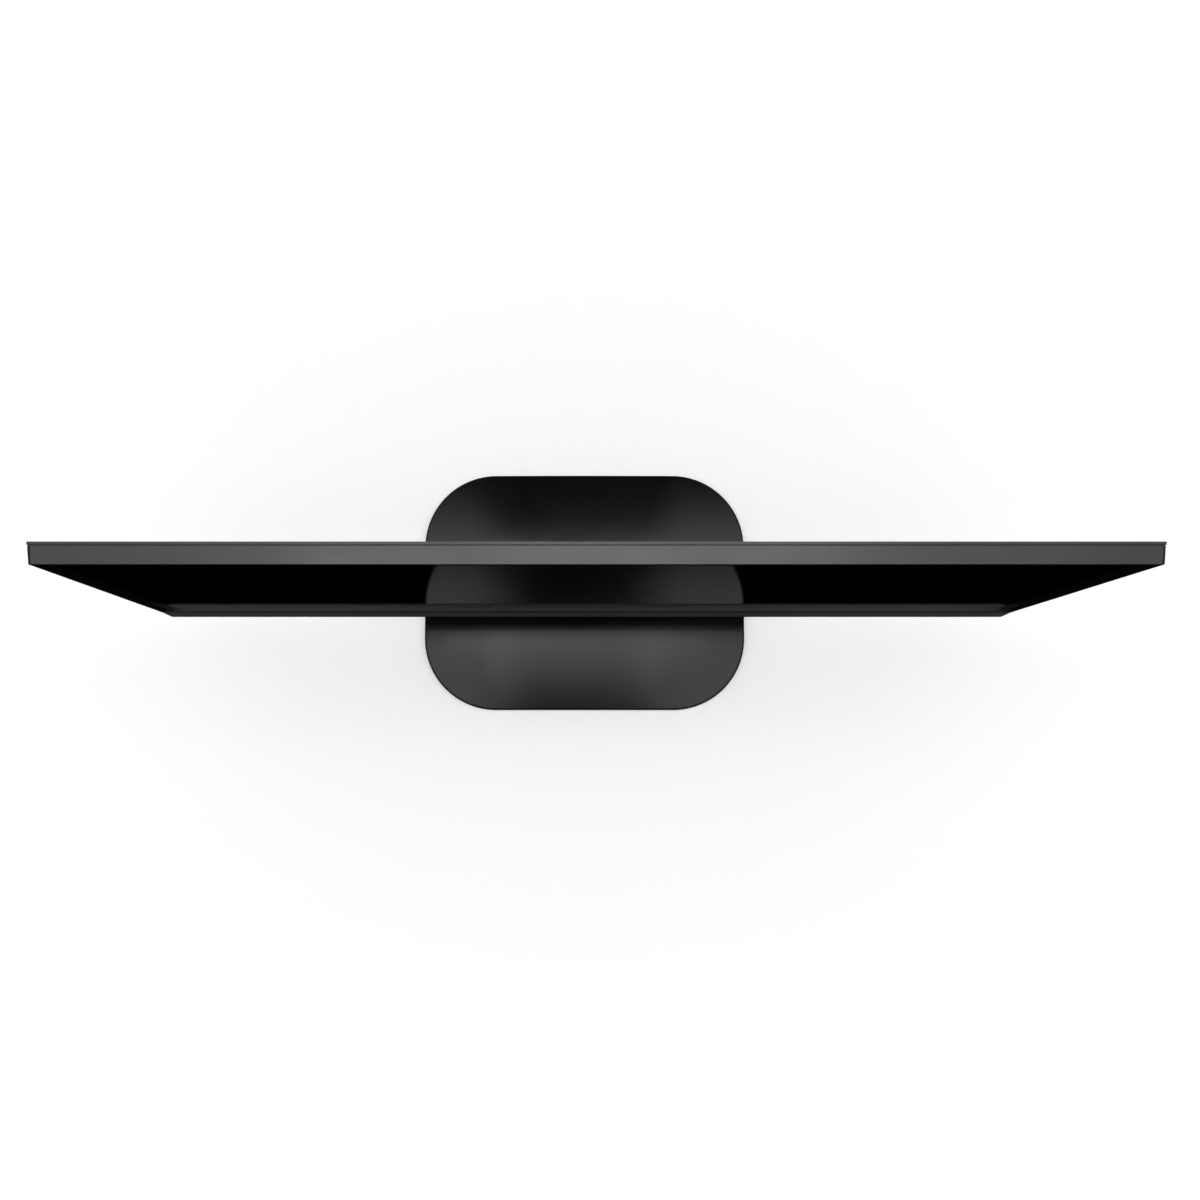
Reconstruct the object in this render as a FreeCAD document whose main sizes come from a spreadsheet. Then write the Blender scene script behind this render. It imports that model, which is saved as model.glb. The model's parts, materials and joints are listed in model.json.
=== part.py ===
"""A desk monitor on a pedestal stand, modelled piece by piece in millimetres.

The origin is the centre of the base on the table. +X is to the right of a
person who looks at the screen, +Y points away from them and +Z is up.
"""

import FreeCAD, Part
import os
import re
import Sketcher

V = FreeCAD.Vector

# Driving sizes, by sub-assembly. Each can be changed by itself.
SIZES = [
    # Outline of the screen housing
    ("panel_wide", 544.0),
    ("panel_tall", 323.0),
    ("panel_low", 102.0),
    ("face_ahead", 21.0),
    ("bezel_deep", 9.0),
    ("bezel_draft", 0.8),
    ("bezel_wall", 2.2),
    ("bezel_corner", 1.6),
    ("lip_thick", 1.6),
    ("lip_top", 8.5),
    ("seam_gap", 0.4),
    ("chin_out", 2.6),
    ("chin_tall", 3.5),
    ("chin_taper", 5.8),
    # Screen and its backlight
    ("active_wide", 527.0),
    ("active_tall", 296.5),
    ("glass_edge", 1.5),
    ("glass_thick", 0.5),
    ("film_thick", 0.2),
    ("sheet_thick", 0.3),
    ("guide_thick", 3.0),
    ("module_fit", 0.2),
    ("mould_wall", 2.0),
    ("tray_thick", 0.8),
    ("led_room", 5.0),
    ("led_bar_tall", 1.5),
    ("led_wide", 3.0),
    ("led_tall", 1.2),
    ("led_deep", 2.4),
    ("led_pitch", 8.8),
    ("led_count", 58),
    ("source_wide", 220.0),
    ("source_tall", 7.0),
    ("source_up", 1.0),
    ("board_thick", 1.0),
    ("flex_wide", 26.0),
    ("flex_count", 4),
    ("flex_gap", 0.5),
    ("flex_pitch", 55.0),
    ("flex_thick", 0.2),
    ("flex_drop", 1.2),
    # Rear cover
    ("cover_thick", 1.5),
    ("cover_lip", 1.6),
    ("cover_lip_wall", 1.2),
    ("cover_fit", 0.2),
    ("bulge_wide", 300.0),
    ("bulge_side_slope", 12.0),
    ("bulge_deep", 19.1),
    ("bulge_up", 12.0),
    ("bulge_flat", 126.0),
    ("bulge_slope", 35.0),
    ("bulge_wall", 2.0),
    ("vent_count", 22),
    ("vent_pitch", 9.0),
    ("vent_wide", 3.0),
    ("vent_tall", 16.0),
    ("vent_above", 4.0),
    # Screws that hold the rear cover
    ("cover_screw_r", 1.1),
    ("cover_screw_head", 2.4),
    ("cover_screw_up", 5.2),
    ("cover_screw_step", 120.0),
    ("cover_screw_long", 6.0),
    ("boss_wall", 1.5),
    ("screw_play", 0.1),
    # Standard wall-mount pattern
    ("vesa_pitch", 100.0),
    ("vesa_up", 80.0),
    ("vesa_hole_r", 2.0),
    ("vesa_hole_deep", 12.0),
    ("vesa_post_r", 4.5),
    ("post_play", 0.2),
    # Electronics
    ("main_board_side", 58.0),
    ("main_board_wide", 76.0),
    ("main_board_tall", 108.0),
    ("main_board_thick", 1.6),
    ("main_board_up", 3.0),
    ("board_post_r", 2.5),
    ("board_post_long", 6.0),
    ("board_post_in", 6.0),
    ("board_screw_r", 1.5),
    ("board_screw_head", 2.8),
    ("bracket_thick", 1.0),
    ("bracket_up", 14.0),
    ("chip_wide", 22.0),
    ("chip_tall", 1.4),
    ("capacitor_r", 4.0),
    ("capacitor_tall", 9.0),
    ("socket_up", 0.3),
    ("socket_step", 2.2),
    ("socket_play", 0.3),
    ("socket_wall", 0.5),
    ("hdmi_wide", 15.0),
    ("hdmi_thick", 5.6),
    ("socket_long", 11.5),
    ("socket_deep", 8.5),
    ("displayport_wide", 17.4),
    ("audio_wide", 7.0),
    ("audio_thick", 6.0),
    ("audio_r", 1.8),
    ("power_wide", 9.0),
    ("power_thick", 10.0),
    ("power_r", 2.8),
    ("power_pin_r", 0.9),
    ("ribbon_wide", 18.0),
    ("ribbon_in", 16.0),
    ("ribbon_up", 4.0),
    # Menu joystick under the chin
    ("pod_wide", 22.9),
    ("pod_in", 1.5),
    ("pod_tall", 3.5),
    ("pod_deep", 11.8),
    ("pod_hole_r", 4.6),
    ("pod_round", 1.2),
    ("stick_pivot_up", 4.0),
    ("stick_r", 1.0),
    ("stick_down", 1.1),
    ("stick_over", 1.4),
    ("stick_hole_r", 3.2),
    ("stick_pin_r", 0.3),
    ("ring_r", 2.1),
    ("ring_bore_r", 1.5),
    ("ring_tall", 1.2),
    ("ring_pin_r", 0.4),
    ("pin_play", 0.1),
    ("switch_wide", 9.6),
    ("switch_thick", 6.0),
    ("switch_wall", 0.6),
    ("switch_up", 0.4),
    ("switch_tall", 4.6),
    ("knob_r", 3.5),
    ("knob_tall", 3.5),
    ("knob_sleeve_r", 2.2),
    ("knob_sleeve_tall", 3.5),
    ("knob_play", 0.1),
    ("knob_floor", 2.1),
    ("key_board_wide", 28.0),
    ("pipe_r", 0.8),
    ("pipe_side", 8.0),
    # Tilt hinge
    ("pivot_high", 130.0),
    ("pivot_back", 5.5),
    ("shaft_r", 4.0),
    ("shaft_play", 0.05),
    ("ear_gap", 44.0),
    ("ear_thick", 3.0),
    ("ear_r", 8.0),
    ("washer_thick", 1.0),
    ("washer_r", 7.5),
    ("lug_thick", 3.0),
    ("spring_thick", 1.2),
    ("spring_r", 6.5),
    ("nut_thick", 2.8),
    ("nut_r", 6.0),
    ("hinge_plate_wide", 66.0),
    ("hinge_plate_tall", 36.0),
    ("hinge_plate_thick", 2.0),
    ("hinge_screw_r", 1.9),
    ("hinge_screw_head", 3.2),
    ("hinge_plate_down", 12.0),
    ("hinge_screw_side", 4.0),
    ("hinge_screw_in", 6.0),
    ("pad_r", 5.0),
    # Neck
    ("neck_wide", 72.0),
    ("neck_top_r", 12.0),
    ("neck_front", 3.0),
    ("neck_rear", 31.0),
    ("neck_wall", 2.0),
    ("neck_split", 8.0),
    ("ear_slot_play", 0.6),
    ("ear_slot_down", 12.0),
    ("pocket_side", 2.0),
    ("pocket_top", 30.0),
    ("foot_block_wide", 60.0),
    ("foot_block_tall", 7.0),
    ("foot_block_in", 3.0),
    ("web_thick", 3.0),
    ("web_front", 14.0),
    ("web_top", 18.0),
    ("neck_screw_r", 1.4),
    ("neck_screw_head", 3.0),
    ("neck_screw_low", 40.0),
    ("neck_screw_step", 40.0),
    ("neck_screw_sunk", 7.5),
    # Base
    ("base_wide", 220.0),
    ("base_deep", 162.0),
    ("base_corner", 49.0),
    ("base_wall", 2.5),
    ("dome_top", 13.0),
    ("dome_r", 1500.0),
    ("base_edge_round", 1.2),
    ("skirt_gap", 2.2),
    ("foot_tall", 3.0),
    ("foot_r", 9.0),
    ("foot_side", 78.0),
    ("foot_fore", 48.0),
    ("plate_thick", 2.0),
    ("plate_play", 0.4),
    ("well_r", 15.0),
    ("well_rise", 5.0),
    ("bolt_r", 3.0),
    ("bolt_play", 0.3),
    ("bolt_head_r", 9.0),
    ("bolt_head_tall", 3.2),
    ("bolt_slot_wide", 2.0),
    ("bolt_slot_deep", 1.2),
    ("base_screw_side", 60.0),
    ("base_screw_fore", 62.0),
    ("base_screw_r", 1.25),
    ("base_screw_head", 3.0),
    ("base_screw_head_tall", 1.4),
    ("base_screw_long", 4.5),
]

# Places worked out from the driving sizes.
PLACES = {
    "face_y": "-face_ahead",
    "lip_back": "face_y + lip_thick",
    "bezel_back": "face_y + bezel_deep",
    "skin_front": "bezel_back + seam_gap",
    "skin_back": "skin_front + cover_thick",
    "back_y": "skin_back + bulge_deep",
    "half_wide": "panel_wide / 2",
    "half_face": "panel_wide / 2 - bezel_draft",
    "half_inside": "half_face - bezel_wall",
    "panel_high": "panel_low + panel_tall",
    "inside_low": "panel_low + bezel_wall",
    "inside_high": "panel_high - bezel_wall",
    "half_active": "active_wide / 2",
    "active_high": "panel_high - lip_top",
    "active_low": "active_high - active_tall",
    "glass_half": "half_active + glass_edge",
    "glass_high": "active_high + glass_edge",
    "glass_low": "active_low - glass_edge",
    "glass_front": "lip_back + film_thick",
    "glass_mid": "glass_front + glass_thick",
    "glass_back": "glass_mid + glass_thick",
    "prism_front": "glass_back + film_thick",
    "diffuser_front": "prism_front + sheet_thick",
    "guide_front": "diffuser_front + sheet_thick",
    "guide_back": "guide_front + guide_thick",
    "tray_front": "guide_back + film_thick",
    "tray_back": "tray_front + tray_thick",
    "mould_in": "glass_half + module_fit",
    "mould_out": "mould_in + mould_wall",
    "mould_in_high": "glass_high + module_fit",
    "mould_high": "mould_in_high + mould_wall",
    "mould_in_low": "glass_low - led_room",
    "mould_low": "mould_in_low - mould_wall",
    "tray_half": "mould_out + module_fit + tray_thick",
    "tray_high": "mould_high + module_fit + tray_thick",
    "tray_low": "mould_low - module_fit - tray_thick",
    "source_low": "tray_low + source_up",
    "source_high": "source_low + source_tall",
    "source_back": "tray_back + board_thick",
    "flex_low": "tray_low - flex_drop",
    "half_bulge": "bulge_wide / 2",
    "bulge_low": "panel_low + bulge_up",
    "bulge_flat_top": "bulge_low + bulge_flat",
    "bulge_high": "bulge_flat_top + bulge_slope",
    "inner_back": "back_y - bulge_wall",
    "vesa_mid": "panel_low + vesa_up",
    "vesa_half": "vesa_pitch / 2",
    "board_in_x": "-main_board_side",
    "board_out_x": "board_in_x - main_board_wide",
    "board_front": "tray_back + bracket_thick + board_post_long",
    "board_back": "board_front + main_board_thick",
    "board_low": "bulge_low + main_board_up",
    "board_high": "board_low + main_board_tall",
    "bracket_low": "board_low + bracket_up",
    "socket_low": "bulge_low + socket_up",
    "stick_y": "skin_front - cover_lip - pin_play - switch_thick / 2",
    "stick_z": "panel_low + stick_pivot_up",
    "pod_low": "panel_low - pod_tall",
    "pod_front": "face_y - chin_out + pod_in",
    "switch_low": "inside_low + switch_up",
    "switch_high": "switch_low + switch_tall",
    "stick_bottom": "pod_low - stick_down",
    "knob_low": "stick_bottom - knob_floor - knob_play",
    "pivot_y": "pivot_back",
    "half_ear_in": "ear_gap / 2",
    "half_ear_out": "half_ear_in + ear_thick",
    "lug_in": "half_ear_out + washer_thick",
    "lug_out": "lug_in + lug_thick",
    "spring_out": "lug_out + spring_thick",
    "nut_out": "spring_out + nut_thick",
    "hinge_plate_back": "skin_back + hinge_plate_thick",
    "hinge_plate_low": "pivot_high - hinge_plate_down",
    "hinge_plate_high": "hinge_plate_low + hinge_plate_tall",
    "hinge_screw_x": "hinge_plate_wide / 2 - hinge_screw_side",
    "half_neck": "neck_wide / 2",
    "half_pocket": "half_neck + pocket_side",
    "pocket_high": "pivot_high + pocket_top",
    "plate_top": "foot_tall + plate_thick",
    "well_roof": "foot_tall + well_rise",
    "well_top": "well_roof + plate_thick",
    "neck_mid": "(neck_front + neck_rear) / 2",
    "block_top": "well_top + foot_block_tall",
    "inset": "base_wall + plate_play",
}

doc = FreeCAD.newDocument("monitor")
sheet = doc.addObject("Spreadsheet::Sheet", "dims")
for row, (alias, value) in enumerate(SIZES, start=1):
    sheet.set(f"A{row}", alias)
    sheet.set(f"B{row}", str(value))
    sheet.setAlias(f"B{row}", alias)
doc.recompute()

aliases = {alias for alias, _ in SIZES}
parts = []


def bound(text):
    """The text with every place worked out and every size tied to the sheet."""

    def swap(match):
        name = match.group(0)
        if name in PLACES:
            return f"({bound(PLACES[name])})"
        return f"dims.{name}" if name in aliases else name

    return re.sub(r"[a-z_]\w*", swap, str(text))


def number(text):
    """The present value of an expression."""
    return float(sheet.evalExpression(bound(text)))


def put(item, x, y, z):
    for axis, text in zip("xyz", (x, y, z)):
        item.setExpression(f"Placement.Base.{axis}", bound(text))
    return item


def node(item, label):
    """Marks a finished piece: its label names its file."""
    item.Label = label
    parts.append(item)
    return item


def block(name, x, y, z):
    """A box between a low and a high place on each axis."""
    item = doc.addObject("Part::Box", name)
    for side, (low, high) in zip(("Length", "Width", "Height"), (x, y, z)):
        item.setExpression(side, bound(f"({high}) - ({low})"))
    return put(item, x[0], y[0], z[0])


TURNS = {
    "x": FreeCAD.Rotation(V(0, 1, 0), 90),
    "y": FreeCAD.Rotation(V(1, 0, 0), -90),
    "z": FreeCAD.Rotation(),
}


def along(axis, start, across):
    """The three coordinates of a place given along one axis and across it."""
    first, second = across
    return {
        "x": (start, first, second),
        "y": (first, start, second),
        "z": (first, second, start),
    }[axis]


def rod(name, axis, radius, span, across):
    """A cylinder along an axis between two places."""
    low, high = span
    item = doc.addObject("Part::Cylinder", name)
    item.Placement = FreeCAD.Placement(V(), TURNS[axis])
    item.setExpression("Radius", bound(radius))
    item.setExpression("Height", bound(f"({high}) - ({low})"))
    return put(item, *along(axis, low, across))


def fuse(name, *items):
    item = doc.addObject("Part::MultiFuse", name)
    item.Shapes = list(items)
    return item


def group(name, items):
    """Separate solids of one kind in one piece list."""
    item = doc.addObject("Part::Compound", name)
    item.Links = list(items)
    return item


def cut(name, base, *tools):
    item = doc.addObject("Part::Cut", name)
    item.Base = base
    item.Tool = tools[0] if len(tools) == 1 else fuse(f"{name}_tools", *tools)
    return item


def common(name, *items):
    item = doc.addObject("Part::MultiCommon", name)
    item.Shapes = list(items)
    return item


PLANES = {"XY": ("XY_Plane", False), "XZ": ("XZ_Plane", True), "YZ": ("YZ_Plane", False)}


def outline(body, plane, points):
    """A closed sketch through the points, each tied to its expressions."""
    role = PLANES[plane][0]
    sketch = body.newObject("Sketcher::SketchObject", f"{body.Name}_sketch")
    face = next(f for f in body.Origin.OriginFeatures if f.Role == role)
    sketch.AttachmentSupport = [(face, "")]
    sketch.MapMode = "FlatFace"
    places = [V(number(a), number(b), 0) for a, b in points]
    for start, end in zip(places, places[1:] + places[:1]):
        sketch.addGeometry(Part.LineSegment(start, end))
    count = len(points)
    for i, (a, b) in enumerate(points):
        after = (i + 1) % count
        sketch.addConstraint(Sketcher.Constraint("Coincident", i, 2, after, 1))
        for kind, text in (("DistanceX", a), ("DistanceY", b)):
            rule = Sketcher.Constraint(kind, -1, 1, i, 1, number(text))
            index = sketch.addConstraint(rule)
            sketch.setExpression(f"Constraints[{index}]", bound(text))
    return sketch


def prism(name, plane, points, low, high):
    """A body padded from an outline, between two places on the outline's normal."""
    body = doc.addObject("PartDesign::Body", name)
    sketch = outline(body, plane, points)
    pad = body.newObject("PartDesign::Pad", f"{name}_pad")
    pad.Profile = sketch
    pad.Reversed = PLANES[plane][1]
    pad.setExpression("Length", bound(f"({high}) - ({low})"))
    body.Tip = pad
    axis = {"XY": "z", "XZ": "y", "YZ": "x"}[plane]
    body.setExpression(f"Placement.Base.{axis}", bound(low))
    doc.recompute()
    return body


def round_edges(body, wanted, radius):
    """Rounds the body's edges for which wanted(edge) holds."""
    last = body.Tip
    names = [
        f"Edge{i}"
        for i, edge in enumerate(last.Shape.Edges, start=1)
        if wanted(edge)
    ]
    fillet = body.newObject("PartDesign::Fillet", f"{body.Name}_round")
    fillet.Base = (last, names)
    fillet.setExpression("Radius", bound(radius))
    body.Tip = fillet
    doc.recompute()
    return body


def rectangle(half_x, low_y, high_y):
    return [
        (f"-({half_x})", low_y),
        (half_x, low_y),
        (half_x, high_y),
        (f"-({half_x})", high_y),
    ]


def upright(edge):
    box = edge.BoundBox
    return box.ZLength > 1 and box.XLength < 0.01 and box.YLength < 0.01


def rounded_block(name, half_x, half_y, radius, low, high):
    """A block with rounded upright edges, centred on the vertical axis."""
    points = rectangle(half_x, f"-({half_y})", half_y)
    return round_edges(prism(name, "XY", points, low, high), upright, radius)


def make_front_bezel():
    """Picture-frame moulding with drafted sides, a thin lip and a chin."""
    outside = [
        ("-half_face", "face_y"),
        ("half_face", "face_y"),
        ("half_wide", "bezel_back"),
        ("-half_wide", "bezel_back"),
    ]
    shell = prism("bezel_shell", "XY", outside, "panel_low", "panel_high")

    def runs_back(edge):
        box = edge.BoundBox
        return box.YLength > number("bezel_deep") / 2 and box.ZLength < 0.01

    round_edges(shell, runs_back, "bezel_corner")
    inside = block(
        "bezel_inside",
        ("-half_inside", "half_inside"),
        ("lip_back", "bezel_back + 1"),
        ("inside_low", "inside_high"),
    )
    hollow = cut("bezel_hollow", shell, inside)
    bosses = [
        rod(
            f"bezel_boss_{i}",
            "y",
            "cover_screw_r + boss_wall",
            ("lip_back - lip_thick / 2", "skin_front - cover_lip"),
            (x, "panel_low + cover_screw_up"),
        )
        for i, x in enumerate(COVER_SCREW_X)
    ]
    holes = [
        rod(
            f"bezel_screw_hole_{i}",
            "y",
            "cover_screw_r + screw_play",
            ("lip_back", "skin_front"),
            (x, "panel_low + cover_screw_up"),
        )
        for i, x in enumerate(COVER_SCREW_X)
    ]
    window = block(
        "bezel_window",
        ("-half_active", "half_active"),
        ("face_y - 1", "lip_back + 1"),
        ("active_low", "active_high"),
    )
    stick_hole = rod(
        "bezel_stick_hole",
        "z",
        "stick_hole_r",
        ("panel_low - 1", "inside_low + 1"),
        ("0", "stick_y"),
    )
    framed = fuse("bezel_framed", hollow, *bosses)
    node(cut("front_bezel_cut", framed, window, stick_hole, *holes), "front_bezel")


COVER_SCREW_X = [f"{step} * cover_screw_step" for step in (-2, -1, -0.5, 0.5, 1, 2)]


def make_chin():
    """A blank proud strip along the lower edge, its ends cut at a slant."""
    points = [
        ("-half_face", "face_y"),
        ("-half_face + chin_taper", "face_y - chin_out"),
        ("half_face - chin_taper", "face_y - chin_out"),
        ("half_face", "face_y"),
    ]
    strip = prism("chin_strip", "XY", points, "panel_low", "panel_low + chin_tall")

    def front_edges(edge):
        box = edge.BoundBox
        return box.XLength > 1 and box.YMax < number("face_y") - 0.5 * number("chin_out")

    round_edges(strip, front_edges, "chin_out / 4")
    node(strip, "chin_trim")


def make_screen():
    """The liquid-crystal cell and the sheets behind it, from front to back."""
    layers = [
        ("front_polarizer", "lip_back", "glass_front"),
        ("rear_polarizer", "glass_back", "prism_front"),
        ("prism_sheet", "prism_front", "diffuser_front"),
        ("diffuser_sheet", "diffuser_front", "guide_front"),
        ("light_guide", "guide_front", "guide_back"),
        ("reflector_sheet", "guide_back", "tray_front"),
    ]
    for label, front, back in layers:
        size = (("-glass_half", "glass_half"), (front, back), ("glass_low", "glass_high"))
        node(block(f"{label}_sheet", *size), label)
    panes = [
        block(
            f"glass_pane_{i}",
            ("-glass_half", "glass_half"),
            (front, back),
            ("glass_low", "glass_high"),
        )
        for i, (front, back) in enumerate(
            [("glass_front", "glass_mid"), ("glass_mid", "glass_back")]
        )
    ]
    node(group("glass_panes", panes), "lcd_glass")


def make_backlight():
    bar_low = "mould_in_low"
    bar_high = "mould_in_low + led_bar_tall"
    guide_mid = "(guide_front + guide_back) / 2"
    node(
        block(
            "led_strip",
            ("-glass_half", "glass_half"),
            ("guide_front", "guide_back"),
            (bar_low, bar_high),
        ),
        "led_bar",
    )
    count = round(number("led_count"))
    packages = []
    for i in range(count):
        middle = f"{i - (count - 1) / 2} * led_pitch"
        packages.append(
            block(
                f"led_{i}",
                (f"{middle} - led_wide / 2", f"{middle} + led_wide / 2"),
                (f"{guide_mid} - led_deep / 2", f"{guide_mid} + led_deep / 2"),
                (bar_high, f"{bar_high} + led_tall"),
            )
        )
    node(group("leds", packages), "led_packages")
    ring = block(
        "mould_outside",
        ("-mould_out", "mould_out"),
        ("lip_back", "tray_front"),
        ("mould_low", "mould_high"),
    )
    opening = block(
        "mould_opening",
        ("-mould_in", "mould_in"),
        ("lip_back - 1", "tray_front + 1"),
        ("mould_in_low", "mould_in_high"),
    )
    node(cut("mould_ring", ring, opening), "mould_frame")
    pan = block(
        "tray_outside",
        ("-tray_half", "tray_half"),
        ("glass_front", "tray_back"),
        ("tray_low", "tray_high"),
    )
    room = block(
        "tray_room",
        ("-tray_half + tray_thick", "tray_half - tray_thick"),
        ("glass_front - 1", "tray_front"),
        ("tray_low + tray_thick", "tray_high - tray_thick"),
    )
    pads = [
        rod(f"tray_pad_{i}", "y", "pad_r", ("tray_back - tray_thick / 2", "skin_front"), at)
        for i, at in enumerate(HINGE_SCREWS)
    ]
    holes = [
        rod(
            f"tray_hole_{i}",
            "y",
            "hinge_screw_r + screw_play",
            ("tray_front - 1", "skin_front + 1"),
            at,
        )
        for i, at in enumerate(HINGE_SCREWS)
    ]
    pressed = fuse("tray_pressed", cut("tray_pan", pan, room), *pads)
    node(cut("tray_cut", pressed, *holes), "backlight_tray")


HINGE_SCREWS = [
    (f"{side} * hinge_screw_x", height)
    for side in (-1, 1)
    for height in ("hinge_plate_low + hinge_screw_in", "hinge_plate_high - hinge_screw_in")
]


def make_drivers():
    """The driver board behind the lower edge and the films that reach it."""
    node(
        block(
            "driver_board",
            ("-source_wide / 2", "source_wide / 2"),
            ("tray_back", "source_back"),
            ("source_low", "source_high"),
        ),
        "source_board",
    )
    nearest = "(key_board_wide / 2 + flex_gap + flex_wide / 2)"
    steps = range(round(number("flex_count") / 2))
    middles = [f"{side} * ({nearest} + {step} * flex_pitch)" for side in (-1, 1) for step in steps]
    films = []
    for i, middle in enumerate(middles):
        films.append(
            prism(
                f"flex_{i}",
                "YZ",
                [
                    ("glass_mid", "mould_low - module_fit - tray_thick"),
                    ("glass_mid", "flex_low"),
                    ("source_back + flex_thick", "flex_low"),
                    ("source_back + flex_thick", "source_low + source_tall / 3"),
                    ("source_back", "source_low + source_tall / 3"),
                    ("source_back", "flex_low + flex_thick"),
                    ("glass_mid + flex_thick", "flex_low + flex_thick"),
                    ("glass_mid + flex_thick", "mould_low - module_fit - tray_thick"),
                ],
                f"{middle} - flex_wide / 2",
                f"{middle} + flex_wide / 2",
            )
        )
    node(group("flexes", films), "source_flexes")


def bulge_form(name, side, low, flat_top, high, front, back):
    """The swelling of the rear cover: flat at the back, sloping at top and sides."""
    profile = [
        (front, low),
        (back, low),
        (back, flat_top),
        (f"{back} - bulge_deep", high),
        (front, high),
    ]
    plan = [
        (f"-({side})", front),
        (side, front),
        (side, f"{back} - bulge_deep"),
        (f"{side} - bulge_side_slope", back),
        (f"-({side} - bulge_side_slope)", back),
        (f"-({side})", f"{back} - bulge_deep"),
    ]
    tall = prism(f"{name}_profile", "YZ", profile, f"-({side})", side)
    wide = prism(f"{name}_plan", "XY", plan, low, high)
    return common(name, tall, wide)


def socket_mouths():
    """Openings in the cover's lower wall, each around its own socket."""
    mouths = []
    for name, (x, wide, thick) in SOCKETS.items():
        mouths.append(
            block(
                f"{name}_mouth",
                (f"{x} - {wide} / 2 - socket_play", f"{x} + {wide} / 2 + socket_play"),
                ("board_back - socket_play", f"board_back + {thick} + socket_play"),
                ("bulge_low - 1", "bulge_low + bulge_wall + 1"),
            )
        )
    return mouths


AUDIO_X = "board_out_x + socket_step + audio_wide / 2"
POWER_X = f"{AUDIO_X} + audio_wide / 2 + socket_step + power_wide / 2"
HDMI_X = f"{POWER_X} + power_wide / 2 + socket_step + hdmi_wide / 2"
HDMI_TWO_X = f"{HDMI_X} + hdmi_wide + socket_step"
DISPLAYPORT_X = f"{HDMI_TWO_X} + hdmi_wide / 2 + socket_step + displayport_wide / 2"
SOCKETS = {
    "power": (POWER_X, "power_wide", "power_thick"),
    "hdmi_one": (HDMI_X, "hdmi_wide", "hdmi_thick"),
    "hdmi_two": (HDMI_TWO_X, "hdmi_wide", "hdmi_thick"),
    "displayport": (DISPLAYPORT_X, "displayport_wide", "hdmi_thick"),
    "audio": (AUDIO_X, "audio_wide", "audio_thick"),
}


def make_rear_cover():
    """One moulding: a thin skin, the swelling with its pocket, vents and openings."""
    skin = block(
        "cover_skin",
        ("-half_wide", "half_wide"),
        ("skin_front", "skin_back"),
        ("panel_low", "panel_high"),
    )
    lip_half = "half_inside - cover_fit"
    lip_low = "inside_low + cover_fit"
    lip_high = "inside_high - cover_fit"
    lip_front = "skin_front - cover_lip"
    lip = block(
        "cover_lip_outside",
        (f"-({lip_half})", lip_half),
        (lip_front, "skin_front"),
        (lip_low, lip_high),
    )
    lip_room = block(
        "cover_lip_inside",
        (f"-({lip_half} - cover_lip_wall)", f"{lip_half} - cover_lip_wall"),
        (f"{lip_front} - 1", "skin_front + 1"),
        (f"{lip_low} + cover_lip_wall", f"{lip_high} - cover_lip_wall"),
    )
    outer = bulge_form(
        "bulge_outer", "half_bulge", "bulge_low", "bulge_flat_top", "bulge_high",
        "skin_front", "back_y",
    )
    inner = bulge_form(
        "bulge_inner", "half_bulge - bulge_wall", "bulge_low + bulge_wall",
        "bulge_flat_top - bulge_wall", "bulge_high - bulge_wall",
        "skin_front - 1", "inner_back",
    )
    pocket_wall = block(
        "pocket_wall",
        ("-half_pocket - bulge_wall", "half_pocket + bulge_wall"),
        ("skin_front - 2", "back_y + 1"),
        ("panel_low - 1", "pocket_high + bulge_wall"),
    )
    pocket = block(
        "pocket_room",
        ("-half_pocket", "half_pocket"),
        ("skin_back", "back_y + 1"),
        ("panel_low - 1", "pocket_high"),
    )
    room = cut("cover_room", inner, pocket_wall)
    body = fuse("cover_body", skin, cut("cover_lip_ring", lip, lip_room), outer)
    holes = [
        rod(
            f"cover_post_hole_{i}",
            "y",
            "vesa_post_r + post_play",
            ("inner_back - 1", "back_y + 1"),
            at,
        )
        for i, at in enumerate(VESA_POSTS)
    ]
    holes += [
        rod(
            f"cover_screw_hole_{i}",
            "y",
            "cover_screw_r + screw_play",
            ("skin_front - 1", "skin_back + 1"),
            (x, "panel_low + cover_screw_up"),
        )
        for i, x in enumerate(COVER_SCREW_X)
    ]
    holes += [
        rod(
            f"cover_hinge_hole_{i}",
            "y",
            "hinge_screw_r + screw_play",
            ("skin_front - 1", "skin_back + 1"),
            at,
        )
        for i, at in enumerate(HINGE_SCREWS)
    ]
    count = round(number("vent_count"))
    for i in range(count):
        middle = f"{i - (count - 1) / 2} * vent_pitch"
        holes.append(
            block(
                f"vent_{i}",
                (f"{middle} - vent_wide / 2", f"{middle} + vent_wide / 2"),
                ("skin_front", "back_y + 1"),
                ("bulge_flat_top + vent_above", "bulge_flat_top + vent_above + vent_tall"),
            )
        )
    hollowed = cut("cover_hollowed", cut("cover_emptied", body, room), pocket)
    node(cut("cover_cut", hollowed, *holes, *socket_mouths()), "rear_cover")


VESA_POSTS = [
    (f"{side} * vesa_half", f"vesa_mid + {up} * vesa_half")
    for side in (-1, 1)
    for up in (-1, 1)
]


def screw(name, radius, head_r, under, tip, head_top, at, axis="y"):
    """A plain-shank screw: its head lies between under and head_top."""
    shank = rod(f"{name}_shank", axis, radius, (tip, under), at)
    head = rod(f"{name}_head", axis, head_r, (under, head_top), at)
    return fuse(name, shank, head)


def make_cover_screws():
    screws = [
        screw(
            f"cover_screw_{i}",
            "cover_screw_r",
            "cover_screw_head",
            "skin_back",
            "skin_back - cover_screw_long",
            "skin_back + cover_screw_head / 2",
            (x, "panel_low + cover_screw_up"),
        )
        for i, x in enumerate(COVER_SCREW_X)
    ]
    node(group("cover_screw_set", screws), "cover_screws")


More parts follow.
